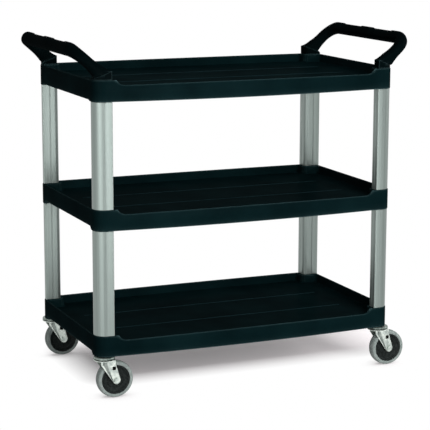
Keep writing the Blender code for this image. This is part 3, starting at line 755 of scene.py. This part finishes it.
# Upright extrusion
def upright_section(inset, groove):
    """The section from the trolley's outer corner inward: a broad arc, edges, two grooves and a rounding."""
    far_u = UPRIGHT_LENGTHWISE - inset
    far_v = UPRIGHT_CROSSWISE - inset
    outer = UPRIGHT_OUTER_RADIUS - inset
    inner = UPRIGHT_INNER_RADIUS - inset
    edge = UPRIGHT_EDGE_RADIUS
    near = inset + outer
    half = GROOVE_WIDTH / 2
    section = arc((near, near), outer, math.pi, math.pi * 1.5, steps=20)
    section += arc((far_u - edge, inset + edge), edge, math.pi * 1.5, math.pi * 2, steps=4)
    for shift, depth in GROOVE_SECTION:
        section.append((far_u - groove * depth, GROOVE_FROM_SIDE + half * shift))
    section += arc((far_u - inner, far_v - inner), inner, 0, math.pi / 2, steps=12)
    for shift, depth in reversed(GROOVE_SECTION):
        section.append((GROOVE_FROM_END + half * shift, far_v - groove * depth))
    section += arc((inset + edge, far_v - edge), edge, math.pi / 2, math.pi, steps=4)
    return section


def make_upright(node, side):
    low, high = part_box(node)
    edge_x = HALF_LENGTH - UPRIGHT_INSET
    edge_y = HALF_WIDTH - UPRIGHT_INSET

    def ring(inset, groove, z):
        section = upright_section(inset, groove)
        return [Vector((side[0] * (edge_x - u), side[1] * (edge_y - v), z)) for u, v in section]

    rings = [
        ring(UPRIGHT_WALL, 0, low.z),
        ring(UPRIGHT_BEVEL, GROOVE_DEPTH, low.z),
        ring(0, GROOVE_DEPTH, low.z + UPRIGHT_BEVEL),
        ring(0, GROOVE_DEPTH, high.z - UPRIGHT_BEVEL),
        ring(UPRIGHT_BEVEL, GROOVE_DEPTH, high.z),
        ring(UPRIGHT_WALL, 0, high.z),
    ]
    add_piece(f"{node}_extrusion", [loft(rings, capped=False)], ALUMINIUM, "frame", node)


# Handle moulding
SECTION_STEPS = 9


def rounded_section(half_u, half_v, radii):
    """Points round a rectangle with its own radius at each corner, from the (+u, +v) corner on."""
    points = []
    for index, radius in enumerate(radii):
        sign_u = 1 if index in (0, 3) else -1
        sign_v = 1 if index in (0, 1) else -1
        centre = (sign_u * (half_u - radius), sign_v * (half_v - radius))
        points += arc(centre, radius, index * math.pi / 2, (index + 1) * math.pi / 2, SECTION_STEPS)
    return points


def oval_section(half_u, half_v):
    """An ellipse with as many points, in the same order, as a rounded section."""
    count = SECTION_STEPS + 1
    points = []
    for index in range(4 * count):
        angle = math.pi / 2 * (index // count + (index % count + 0.5) / count)
        points.append((half_u * math.cos(angle), half_v * math.sin(angle)))
    return points


def mixed(first, second, share):
    return [(a[0] + (b[0] - a[0]) * share, a[1] + (b[1] - a[1]) * share) for a, b in zip(first, second)]


def scaled(section, shares):
    return [(u * shares[0], v * shares[1]) for u, v in section]


def eased(share):
    return share * share * (3 - 2 * share)


def hollowed(share):
    """A share that gains most at its start, so that a section drawn with it narrows in a hollow curve."""
    return 1 - (1 - share) ** LEG_HOLLOW_POWER


def handle_half():
    """Rings of the right handle from its rear foot to its grip's middle land, above the corner block."""
    half_foot = UPRIGHT_LENGTHWISE / 2
    foot_radii = (UPRIGHT_OUTER_RADIUS, FOOT_EDGE_RADIUS, UPRIGHT_INNER_RADIUS, FOOT_EDGE_RADIUS)
    foot = rounded_section(half_foot, UPRIGHT_CROSSWISE / 2, foot_radii)
    root = scaled(foot, FOOT_STEP_SHARES)
    neck = rounded_section(NECK_THICKNESS / 2, LEG_WIDTH / 2, [LEG_CORNER_RADIUS] * 4)
    leg = rounded_section(LEG_THICKNESS / 2, LEG_WIDTH / 2, [LEG_CORNER_RADIUS] * 4)
    land = oval_section(GRIP_DEPTH / 2, GRIP_THICKNESS / 2)
    # Between its lands the grip is recessed above, less at its sides and not at all below.
    waist = []
    for u, v in land:
        shrink = 1 - GRIP_RECESS * (1 - 2 * u / GRIP_DEPTH) / 2 / math.hypot(u, v)
        waist.append((u * shrink, v * shrink))
    half_high = math.hypot(GRIP_DEPTH / 2 * math.cos(GRIP_TILT), GRIP_THICKNESS / 2 * math.sin(GRIP_TILT))
    half_out = math.hypot(GRIP_DEPTH / 2 * math.sin(GRIP_TILT), GRIP_THICKNESS / 2 * math.cos(GRIP_TILT))
    grip = Vector((HALF_LENGTH + HANDLE_REACH - half_out, 0, HANDLE_RISE - half_high))
    across = Vector((0, 1, 0))
    foot_line = across * CORNER_Y
    rings = []

    def add(centre, axis_u, axis_v, section):
        rings.append([centre + axis_u * u + axis_v * v for u, v in section])

    # The foot stands square on the block and ends in a slanting step.
    heel = Vector((CORNER_X + half_foot, 0, FOOT_HEEL_HEIGHT))
    step = Vector((CORNER_X - half_foot, 0, FOOT_STEP_HEIGHT))
    step_middle = (heel + step) / 2
    step_axis = (heel - step) / UPRIGHT_LENGTHWISE
    along = Vector((1, 0, 0))
    add(Vector((CORNER_X, CORNER_Y, SEAT_GAP)), along, across, scaled(foot, FOOT_SEAT_SHARES))
    add(Vector((CORNER_X, CORNER_Y, SEAT_GAP + FOOT_SEAT_EDGE)), along, across, foot)
    add(step_middle + foot_line - Vector((0, 0, FOOT_STEP_EDGE)), step_axis, across, foot)
    add(step_middle + foot_line, step_axis, across, root)

    # The leg swings out of the step, narrows through its neck and runs straight to the grip's bend.
    turned = Vector((1 - math.cos(HANDLE_LEAN), 0, math.sin(HANDLE_LEAN)))
    neck_middle = Vector((CORNER_X, 0, SEAT_GAP)) + turned * LEAN_RADIUS
    neck_axis = Vector((math.cos(HANDLE_LEAN), 0, -math.sin(HANDLE_LEAN)))
    lean = (grip - neck_middle).normalized()
    leg_tilt = math.atan2(lean.z, lean.x)
    leg_axis = Vector((math.sin(leg_tilt), 0, -math.cos(leg_tilt)))
    for part in range(1, ROOT_STEPS + 1):
        share = part / ROOT_STEPS
        middle = step_middle.lerp(neck_middle, share)
        axis = step_axis.lerp(neck_axis, eased(share))
        add(middle + foot_line, axis, across, mixed(root, neck, hollowed(share)))
    bend_middle = grip + across * (CORNER_Y - HANDLE_CORNER_RADIUS) - lean * HANDLE_CORNER_RADIUS
    bend_start = bend_middle + across * HANDLE_CORNER_RADIUS
    for part in range(1, LEG_STEPS):
        share = part / LEG_STEPS
        middle = (neck_middle + foot_line).lerp(bend_start, share)
        add(middle, neck_axis.lerp(leg_axis, share), across, mixed(neck, leg, hollowed(share)))
    for turn in range(BEND_STEPS + 1):
        share = turn / BEND_STEPS
        angle = math.pi / 2 * share
        outward = across * math.cos(angle) + lean * math.sin(angle)
        tilt = leg_tilt + (GRIP_TILT - leg_tilt) * eased(share)
        axis_u = Vector((math.sin(tilt), 0, -math.cos(tilt)))
        rising = Vector((math.cos(tilt), 0, math.sin(tilt)))
        axis_v = across * math.cos(angle) + rising * math.sin(angle)
        add(bend_middle + outward * HANDLE_CORNER_RADIUS, axis_u, axis_v, mixed(leg, land, eased(share)))

    # The grip runs on from the bend's last ring, down off its end land and up onto its middle one.
    first = CORNER_Y - HANDLE_CORNER_RADIUS - LAND_END
    last = LAND_MIDDLE / 2
    shares = [part / LAND_STEPS for part in range(LAND_STEPS + 1)]
    stations = [(first - LAND_RAMP * share, share) for share in shares]
    stations += [(last + LAND_RAMP * share, share) for share in reversed(shares)]
    for y, share in stations:
        add(grip + across * y, axis_u, rising, mixed(land, waist, eased(share)))
    return rings


def make_handles(top):
    half = handle_half()
    rings = half + [[Vector((p.x, -p.y, p.z)) for p in ring] for ring in reversed(half)]
    for name, sign in (("left", -1), ("right", 1)):
        turned = [[Vector((sign * p.x, p.y, p.z + top)) for p in ring] for ring in rings]
        shells = [loft(turned)]
        add_piece(f"{name}_handle_moulding", shells, HANDLE_PLASTIC, "frame", f"{name}_handle", crease=28)


# Caster pieces
def fork_outline():
    """One pressed leg in side view, from under the crown down to a round end about the axle."""
    shoulder = CROWN_BOTTOM - FORK_SHOULDER
    axle = (CASTER_TRAIL, WHEEL_RADIUS)

    def touch(point, side):
        across, along = point[0] - axle[0], point[1] - axle[1]
        return math.atan2(along, across) + side * math.acos(FORK_END_RADIUS / math.hypot(across, along))

    toe, heel = (FORK_TOE, shoulder), (-FORK_HEEL, shoulder)
    end = arc(axle, FORK_END_RADIUS, touch(toe, -1), touch(heel, 1) - 2 * math.pi, steps=18)
    top = CROWN_BOTTOM + FORK_ROOT
    corners = [(-FORK_HEEL, top), (FORK_TOE, top), toe] + end + [heel]
    outline = []
    for here, after in zip(corners, corners[1:] + corners[:1]):
        pieces = max(1, int(math.dist(here, after) / OUTLINE_SPACING))
        for part in range(pieces):
            share = part / pieces
            outline.append((here[0] + (after[0] - here[0]) * share, here[1] + (after[1] - here[1]) * share))
    return outline


def slot_outline(outline, half):
    """The square slot, with a point for each point of the leg's outline, on the same ray from its middle."""
    middle = (SLOT_OFFSET, CROWN_BOTTOM - SLOT_DROP)
    points = []
    for x, z in outline:
        dx, dz = x - middle[0], z - middle[1]
        # A high power of the two offsets gives a square with small round corners.
        reach = (abs(dx) ** 8 + abs(dz) ** 8) ** (1 / 8)
        points.append((middle[0] + dx * half / reach, middle[1] + dz * half / reach))
    return points


def flange_place(x, z):
    """How near a point is to the leg's rear edge, and how far up the leg, both from zero to one."""
    shoulder = CROWN_BOTTOM - FORK_SHOULDER
    height = min(1, max(0, (z - WHEEL_RADIUS) / (shoulder - WHEEL_RADIUS)))
    spine = CASTER_TRAIL + ((FORK_TOE - FORK_HEEL) / 2 - CASTER_TRAIL) * height
    return min(1, max(0, (spine - x) / FLANGE_REACH)), height


def pressed_in(outline, flange, plain):
    """The leg's outline moved inward: a little all round, and by the flange's width at the upper rear."""
    middle_x = sum(x for x, z in outline) / len(outline)
    middle_z = sum(z for x, z in outline) / len(outline)
    points = []
    for x, z in outline:
        rear, height = flange_place(x, z)
        share = plain / math.hypot(middle_x - x, middle_z - z)
        shift = flange * rear * (FLANGE_FOOT_SHARE + (1 - FLANGE_FOOT_SHARE) * height)
        points.append((x + (middle_x - x) * share + shift, z + (middle_z - z) * share))
    return points


def fork_leg(centre, sign):
    """A plate with its slot and a raised flange along its rear edge, as one closed loop of rings."""
    outline = fork_outline()
    slot = slot_outline(outline, SLOT_SIZE / 2)
    stack = [(outline, FORK_INNER, 0), (outline, FORK_OUTER - FORK_EDGE, 0)]
    stack += [(pressed_in(outline, flange, plain), FORK_OUTER, dip) for flange, plain, dip in FLANGE_STEPS]
    stack += [
        (slot_outline(outline, SLOT_SIZE / 2 + FORK_BEVEL), FORK_OUTER, 0),
        (slot, FORK_OUTER - FORK_BEVEL, 0),
        (slot, FORK_INNER, 0),
    ]
    rings = []
    for ring, y, dip in stack:
        made = []
        for (x, z), (edge_x, edge_z) in zip(ring, outline):
            depth = y - dip * flange_place(edge_x, edge_z)[0]
            made.append(centre + Vector((x, sign * depth, z)))
        rings.append(made)
    return loft(rings, capped=False)


def crown_profile():
    """The fork's round top plate, with its edges turned over."""
    profile = [(STEM_HOLE_RADIUS, CROWN_BOTTOM)]
    profile += [(CROWN_RADIUS - inset, CROWN_BOTTOM + rise) for inset, rise in CROWN_LOWER_EDGE]
    profile += [(CROWN_RADIUS - inset, CROWN_TOP - drop) for inset, drop in CROWN_UPPER_EDGE]
    profile.append((STEM_HOLE_RADIUS, CROWN_TOP))
    return profile


def bearing_ring_profile():
    middle = (BEARING_BOTTOM + BEARING_TOP) / 2
    half_high = (BEARING_TOP - BEARING_BOTTOM) / 2
    profile = []
    for step in range(BEARING_POINTS):
        angle = 2 * math.pi * step / BEARING_POINTS
        radius = BEARING_RADIUS + BEARING_HALF_WIDTH * math.cos(angle)
        profile.append((radius, middle + half_high * math.sin(angle)))
    return profile


def cap_profile():
    """The pressed upper race: a flat top, a rolled shoulder and a sloped skirt over the bearing."""
    skirt = CAP_TOP - CAP_HEIGHT
    inside = CAP_TOP - CAP_WALL
    profile = [(STEM_HOLE_RADIUS, inside)]
    profile += [(radius, inside - drop) for radius, drop in CAP_SHOULDER_INSIDE]
    profile.append((CAP_SKIRT_INSIDE, skirt))
    profile += [(CROWN_RADIUS - inset, skirt + rise) for inset, rise in CAP_SKIRT_EDGE]
    profile += [(radius, CAP_TOP - drop) for radius, drop in CAP_SHOULDER_OUTSIDE]
    profile.append((STEM_HOLE_RADIUS, CAP_TOP))
    return profile


def tyre_profile():
    """The tread's section: flat crown, rounded shoulders and a slight bulge over the hub's rim."""
    bulge = [(0.0403, 0.0130), (0.0412, 0.0134), (0.0428, 0.0139), (0.0442, 0.0140), (0.0462, 0.0137)]
    shoulder = [(0.0476, 0.0130), (0.0488, 0.0117), (0.0497, 0.0097), (0.0503, 0.0070)]
    crown = [(0.0507, 0.0040), (WHEEL_RADIUS, 0.0015)]
    return mirrored_profile(bulge + shoulder + crown)


def hub_profile():
    """The hub's section: a boss, a dished web with a raised ring, and a rim under the tread."""
    boss = [(0.0066, 0.0158), (0.0100, 0.0158), (0.0108, 0.0154), (0.0114, 0.0125), (0.0121, 0.0096)]
    web = [(0.0135, 0.0086), (0.0225, 0.0083), (0.0229, 0.0097), (0.0244, 0.0097), (0.0248, 0.0083)]
    rim = [(0.0310, 0.0085), (0.0330, 0.0094), (0.0346, 0.0115)]
    rim += [(0.0356, 0.0127), (0.0368, 0.0130), (0.0400, 0.0130)]
    return mirrored_profile(boss + web + rim)


def hexagon_rings(radius, low, high, chamfer, bore=None):
    """Rings of a six-sided head or nut about the Y axis, with its corners turned down at the outer end."""
    turns = [2 * math.pi * step / HEXAGON_POINTS for step in range(HEXAGON_POINTS)]

    def ring(y, corner_share):
        made = []
        for turn in turns:
            off = (turn + math.pi / 6) % (math.pi / 3) - math.pi / 6
            six = radius * math.cos(math.pi / 6) / math.cos(abs(off))
            reach = min(six, radius * corner_share)
            made.append((reach * math.cos(turn), y, reach * math.sin(turn)))
        return made

    direction = 1 if high > low else -1
    rings = [ring(low, 1), ring(high - direction * chamfer, 1), ring(high, HEXAGON_END_SHARE)]
    if bore:
        for y in (high, low):
            rings.append([(bore * math.cos(turn), y, bore * math.sin(turn)) for turn in turns])
    return rings


def make_caster(corner):
    tyre_low, tyre_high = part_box(f"tyre_{corner}")
    axle = (tyre_low + tyre_high) / 2
    stem = Vector((axle.x - CASTER_TRAIL, axle.y, 0))
    fork_body = f"fork_{corner}"
    wheel_body = f"wheel_{corner}"
    # The cap's darker zinc is painted shade from the shelf above.
    cap = spun(cap_profile(), "Z", stem, segments=64)
    add_piece(f"swivel_cap_{corner}_pressing", [cap], SHADED_ZINC, "frame", f"swivel_cap_{corner}")
    ring = spun(bearing_ring_profile(), "Z", stem, segments=48)
    add_piece(f"swivel_bearing_{corner}_race", [ring], BEARING, "frame", f"swivel_bearing_{corner}")
    shells = [spun(crown_profile(), "Z", stem, segments=64), fork_leg(stem, -1), fork_leg(stem, 1)]
    add_piece(f"fork_{corner}_pressing", shells, ZINC, fork_body, f"fork_{corner}")
    hub = spun(hub_profile(), "Y", axle, segments=72)
    add_piece(f"hub_{corner}_moulding", [hub], NYLON, wheel_body, f"hub_{corner}", crease=40)
    tyre = spun(tyre_profile(), "Y", axle, segments=96)
    add_piece(f"tyre_{corner}_tread", [tyre], RUBBER, wheel_body, f"tyre_{corner}", crease=50)

    # The bolt's head bears on the leg nearer the front, and its nut on the other one.
    seat = FORK_OUTER + SEAT_GAP
    head = hexagon_rings(BOLT_HEAD_RADIUS, -seat, -seat - BOLT_HEAD_HEIGHT, BOLT_HEAD_CHAMFER)
    bolt_head = loft([[axle + Vector(point) for point in ring] for ring in head])
    shank_start = -seat - SHANK_ROOT
    shank_end = seat + BOLT_PROUD
    shank = [
        (SHANK_RADIUS, shank_start),
        (SHANK_RADIUS, shank_end - SHANK_CHAMFER),
        (SHANK_RADIUS - SHANK_CHAMFER, shank_end),
        (SHANK_CENTRE_HOLE, shank_end),
        (SHANK_CENTRE_HOLE, shank_start),
    ]
    bolt = [bolt_head, spun(shank, "Y", axle, segments=32)]
    add_piece(f"axle_bolt_{corner}_hex", bolt, ZINC, fork_body, f"axle_bolt_{corner}")
    nut_rings = hexagon_rings(NUT_RADIUS, seat, seat + NUT_HEIGHT, NUT_CHAMFER, NUT_BORE)
    nut = loft([[axle + Vector(point) for point in ring] for ring in nut_rings], capped=False)
    add_piece(f"axle_nut_{corner}_hex", [nut], ZINC, fork_body, f"axle_nut_{corner}")
    for node in (f"caster_stem_{corner}", f"axle_sleeve_{corner}"):
        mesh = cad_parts[node].data
        mesh.materials.clear()
        mesh.materials.append(ZINC[1])


# Pieces in place
bottom_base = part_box("lower_upright_front_left")[0].z - SEAT_GAP - CORNER_HEIGHT
middle_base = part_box("lower_upright_front_left")[1].z + SEAT_GAP
top_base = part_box("upper_upright_front_left")[1].z + SEAT_GAP
make_shelf("bottom_shelf", bottom_base, END_SKIRT_LIFT)
make_shelf("middle_shelf", middle_base, END_SKIRT_LIFT)
make_shelf("top_shelf", top_base, TOP_END_SKIRT_LIFT)
for corner, side in CORNERS.items():
    make_upright(f"lower_upright_{corner}", side)
    make_upright(f"upper_upright_{corner}", side)
    make_caster(corner)
make_handles(top_base + CORNER_HEIGHT)


# Floor, light and camera
FLOOR_LIFT = 0.6
FLOOR_HALF = 14
SHADOW_CENTRE = (0.108, 0.11, 0)
SHADOW_HALF = (HALF_LENGTH - 0.008, HALF_WIDTH - 0.10, 0)
SHADOW_FADE = 0.11
CAMERA_PLACE = (-1.8244, -4.2663, 1.3272)
CAMERA_AZIMUTH = math.radians(23.195)
CAMERA_ELEVATION = math.radians(10.938)
CAMERA_ROLL = math.radians(0.125)
CAMERA_LENS = 137.617
CAMERA_SENSOR = 36


def seen_directly(tree):
    """One for a ray from the camera, a reflection or glass, and zero for one that only carries light."""
    path = add_node(tree, "ShaderNodeLightPath").outputs
    seen = path["Is Camera Ray"]
    for kind in ("Is Glossy Ray", "Is Transmission Ray"):
        node = add_node(tree, "ShaderNodeMath", {"operation": "MAXIMUM"}, links={0: seen, 1: path[kind]})
        seen = node.outputs[0]
    return seen


def painted_floor():
    """Matt white studio paint, lit to white for the camera away from the trolley, whose shadow is kept and
    deepened with painted shade.
    """
    material, tree, place = new_material("matt_painted_floor")
    mottle = add_node(
        tree, "ShaderNodeTexNoise", values={"Scale": per_mm(60), "Detail": 2}, links={"Vector": place}
    )
    colour = add_node(
        tree,
        "ShaderNodeValToRGB",
        links={"Fac": mottle.outputs["Fac"]},
        stops=((0.3, linear("#eee6e8")), (0.7, linear("#f1eaec"))),
    )
    paint = add_node(
        tree,
        "ShaderNodeBsdfPrincipled",
        values={"Roughness": 0.9, "Specular IOR Level": 0.1},
        links={"Base Color": colour.outputs["Color"]},
    )
    # The lift to white fades with ambient occlusion where the trolley stands over the floor: painted shade
    # over the soft shadow under it.
    open_sky = add_node(tree, "ShaderNodeAmbientOcclusion", {"samples": 16}, values={"Distance": 0.35})
    shade_painted_strength = add_node(
        tree,
        "ShaderNodeValToRGB",
        links={"Fac": open_sky.outputs["AO"]},
        stops=((0.3, grey(0.2)), (0.97, grey(FLOOR_LIFT))),
    )
    lift = add_node(
        tree,
        "ShaderNodeEmission",
        values={"Color": linear("#fffbfc")},
        links={"Strength": shade_painted_strength.outputs["Color"]},
    )
    links = {0: paint.outputs["BSDF"], 1: lift.outputs["Emission"]}
    lifted = add_node(tree, "ShaderNodeAddShader", links=links)
    white = add_node(tree, "ShaderNodeEmission", values={"Color": grey(1), "Strength": 1})
    # The distance from the shadow's core, a plain rectangle placed a little back and to the right.
    offset = place
    for operation, values in (
        ("SUBTRACT", {1: SHADOW_CENTRE}),
        ("ABSOLUTE", {}),
        ("SUBTRACT", {1: SHADOW_HALF}),
        ("MAXIMUM", {}),
    ):
        node = add_node(tree, "ShaderNodeVectorMath", {"operation": operation}, values, {0: offset})
        offset = node.outputs["Vector"]
    distance = add_node(tree, "ShaderNodeVectorMath", {"operation": "LENGTH"}, links={0: offset})
    far = add_node(
        tree,
        "ShaderNodeValToRGB",
        links={"Fac": distance.outputs["Value"]},
        stops=((0, grey(0)), (SHADOW_FADE, grey(1))),
    )
    # Close under each tyre the white gives way by ambient occlusion, a painted shade, so every wheel keeps
    # its own small shadow.
    close_by = add_node(tree, "ShaderNodeAmbientOcclusion", {"samples": 16}, values={"Distance": 0.06})
    contact_shade = add_node(
        tree,
        "ShaderNodeValToRGB",
        links={"Fac": close_by.outputs["AO"]},
        stops=((0.35, grey(0.2)), (0.9, grey(1))),
    )
    links = {0: far.outputs["Color"], 1: contact_shade.outputs["Color"]}
    whiteness = add_node(tree, "ShaderNodeMath", {"operation": "MULTIPLY"}, links=links)
    shown = add_node(
        tree,
        "ShaderNodeMixShader",
        links={0: whiteness.outputs[0], 1: lifted.outputs["Shader"], 2: white.outputs["Emission"]},
    )
    mix = add_node(
        tree,
        "ShaderNodeMixShader",
        links={0: seen_directly(tree), 1: paint.outputs["BSDF"], 2: shown.outputs["Shader"]},
    )
    add_node(tree, "ShaderNodeOutputMaterial", links={"Surface": mix.outputs["Shader"]})
    return material


def add_floor():
    mesh = bpy.data.meshes.new("studio_floor")
    corners = [(x * FLOOR_HALF, y * FLOOR_HALF, 0) for x, y in ((-1, -1), (1, -1), (1, 1), (-1, 1))]
    mesh.from_pydata(corners, [], [(0, 1, 2, 3)])
    mesh.materials.append(painted_floor())
    floor = bpy.data.objects.new("studio_floor", mesh)
    bpy.context.scene.collection.objects.link(floor)


def add_world():
    """White to the camera and to reflections, and a plain grey light on everything else."""
    world = bpy.data.worlds.new("studio_surround")
    bpy.context.scene.world = world
    world.use_nodes = True
    tree = world.node_tree
    tree.nodes.clear()
    white = add_node(tree, "ShaderNodeBackground", values={"Color": grey(1), "Strength": 1})
    ambient = add_node(tree, "ShaderNodeBackground", values={"Color": linear("#dfe8ea"), "Strength": 0.15})
    mix = add_node(
        tree,
        "ShaderNodeMixShader",
        links={0: seen_directly(tree), 1: ambient.outputs["Background"], 2: white.outputs["Background"]},
    )
    add_node(tree, "ShaderNodeOutputWorld", links={"Surface": mix.outputs["Shader"]})


def add_softbox(name, place, target, size, power, mirrored=True, lighting=True):
    """A soft rectangular lamp. Mirrored lets reflections show it, lighting lets matt surfaces catch it."""
    light = bpy.data.lights.new(name, "AREA")
    light.shape = "RECTANGLE"
    light.size, light.size_y = size
    light.energy = power
    lamp = bpy.data.objects.new(name, light)
    lamp.location = place
    lamp.rotation_euler = (Vector(target) - Vector(place)).to_track_quat("-Z", "Y").to_euler()
    lamp.visible_glossy = mirrored
    lamp.visible_diffuse = lighting
    bpy.context.scene.collection.objects.link(lamp)


def add_camera():
    """The photo's viewpoint, worked out from the shelf corners: far off, a little above, to the left."""
    level = math.cos(CAMERA_ELEVATION)
    forward = Vector(
        (
            level * math.sin(CAMERA_AZIMUTH),
            level * math.cos(CAMERA_AZIMUTH),
            -math.sin(CAMERA_ELEVATION),
        )
    )
    right = forward.cross(Vector((0, 0, 1))).normalized()
    up = right.cross(forward)
    turned_right = right * math.cos(CAMERA_ROLL) + up * math.sin(CAMERA_ROLL)
    turned_up = up * math.cos(CAMERA_ROLL) - right * math.sin(CAMERA_ROLL)
    data = bpy.data.cameras.new("viewpoint")
    data.sensor_width = CAMERA_SENSOR
    data.lens = CAMERA_LENS
    camera = bpy.data.objects.new("viewpoint", data)
    axes = Matrix((turned_right, turned_up, -forward)).transposed().to_4x4()
    camera.matrix_world = Matrix.Translation(CAMERA_PLACE) @ axes
    bpy.context.scene.collection.objects.link(camera)
    bpy.context.scene.camera = camera


add_floor()
add_world()
add_softbox("front_softbox", (0.3, -4.1, 2.3), (0, 0, 0.5), (2.6, 1.6), 135, mirrored=False)
add_softbox("fill_softbox", (0.5, -2.9, 0.4), (-0.3, 0, 0.5), (1.2, 0.8), 20)
add_softbox("left_softbox", (-3.0, -2.6, 0.2), (-0.4, 0, 0.35), (0.9, 0.55), 14)
add_softbox("right_softbox", (3.4, -0.6, 1.8), (0, 0, 0.5), (1.6, 1.8), 36)
add_softbox("top_softbox", (0, 0.4, 3.6), (0, 0, 0.5), (3.0, 2.4), 10)
# The cards show in reflections only, where they brighten the uprights.
add_softbox("left_card", (-3.45, -1.98, 0.6), (-0.42, -0.23, 0.5), (1.7, 1.6), 24, lighting=False)
add_softbox("front_card", (-2.0, -3.35, 0.55), (-0.42, -0.23, 0.45), (2.0, 1.2), 16, lighting=False)
add_camera()
bpy.context.scene.view_settings.view_transform = "Standard"
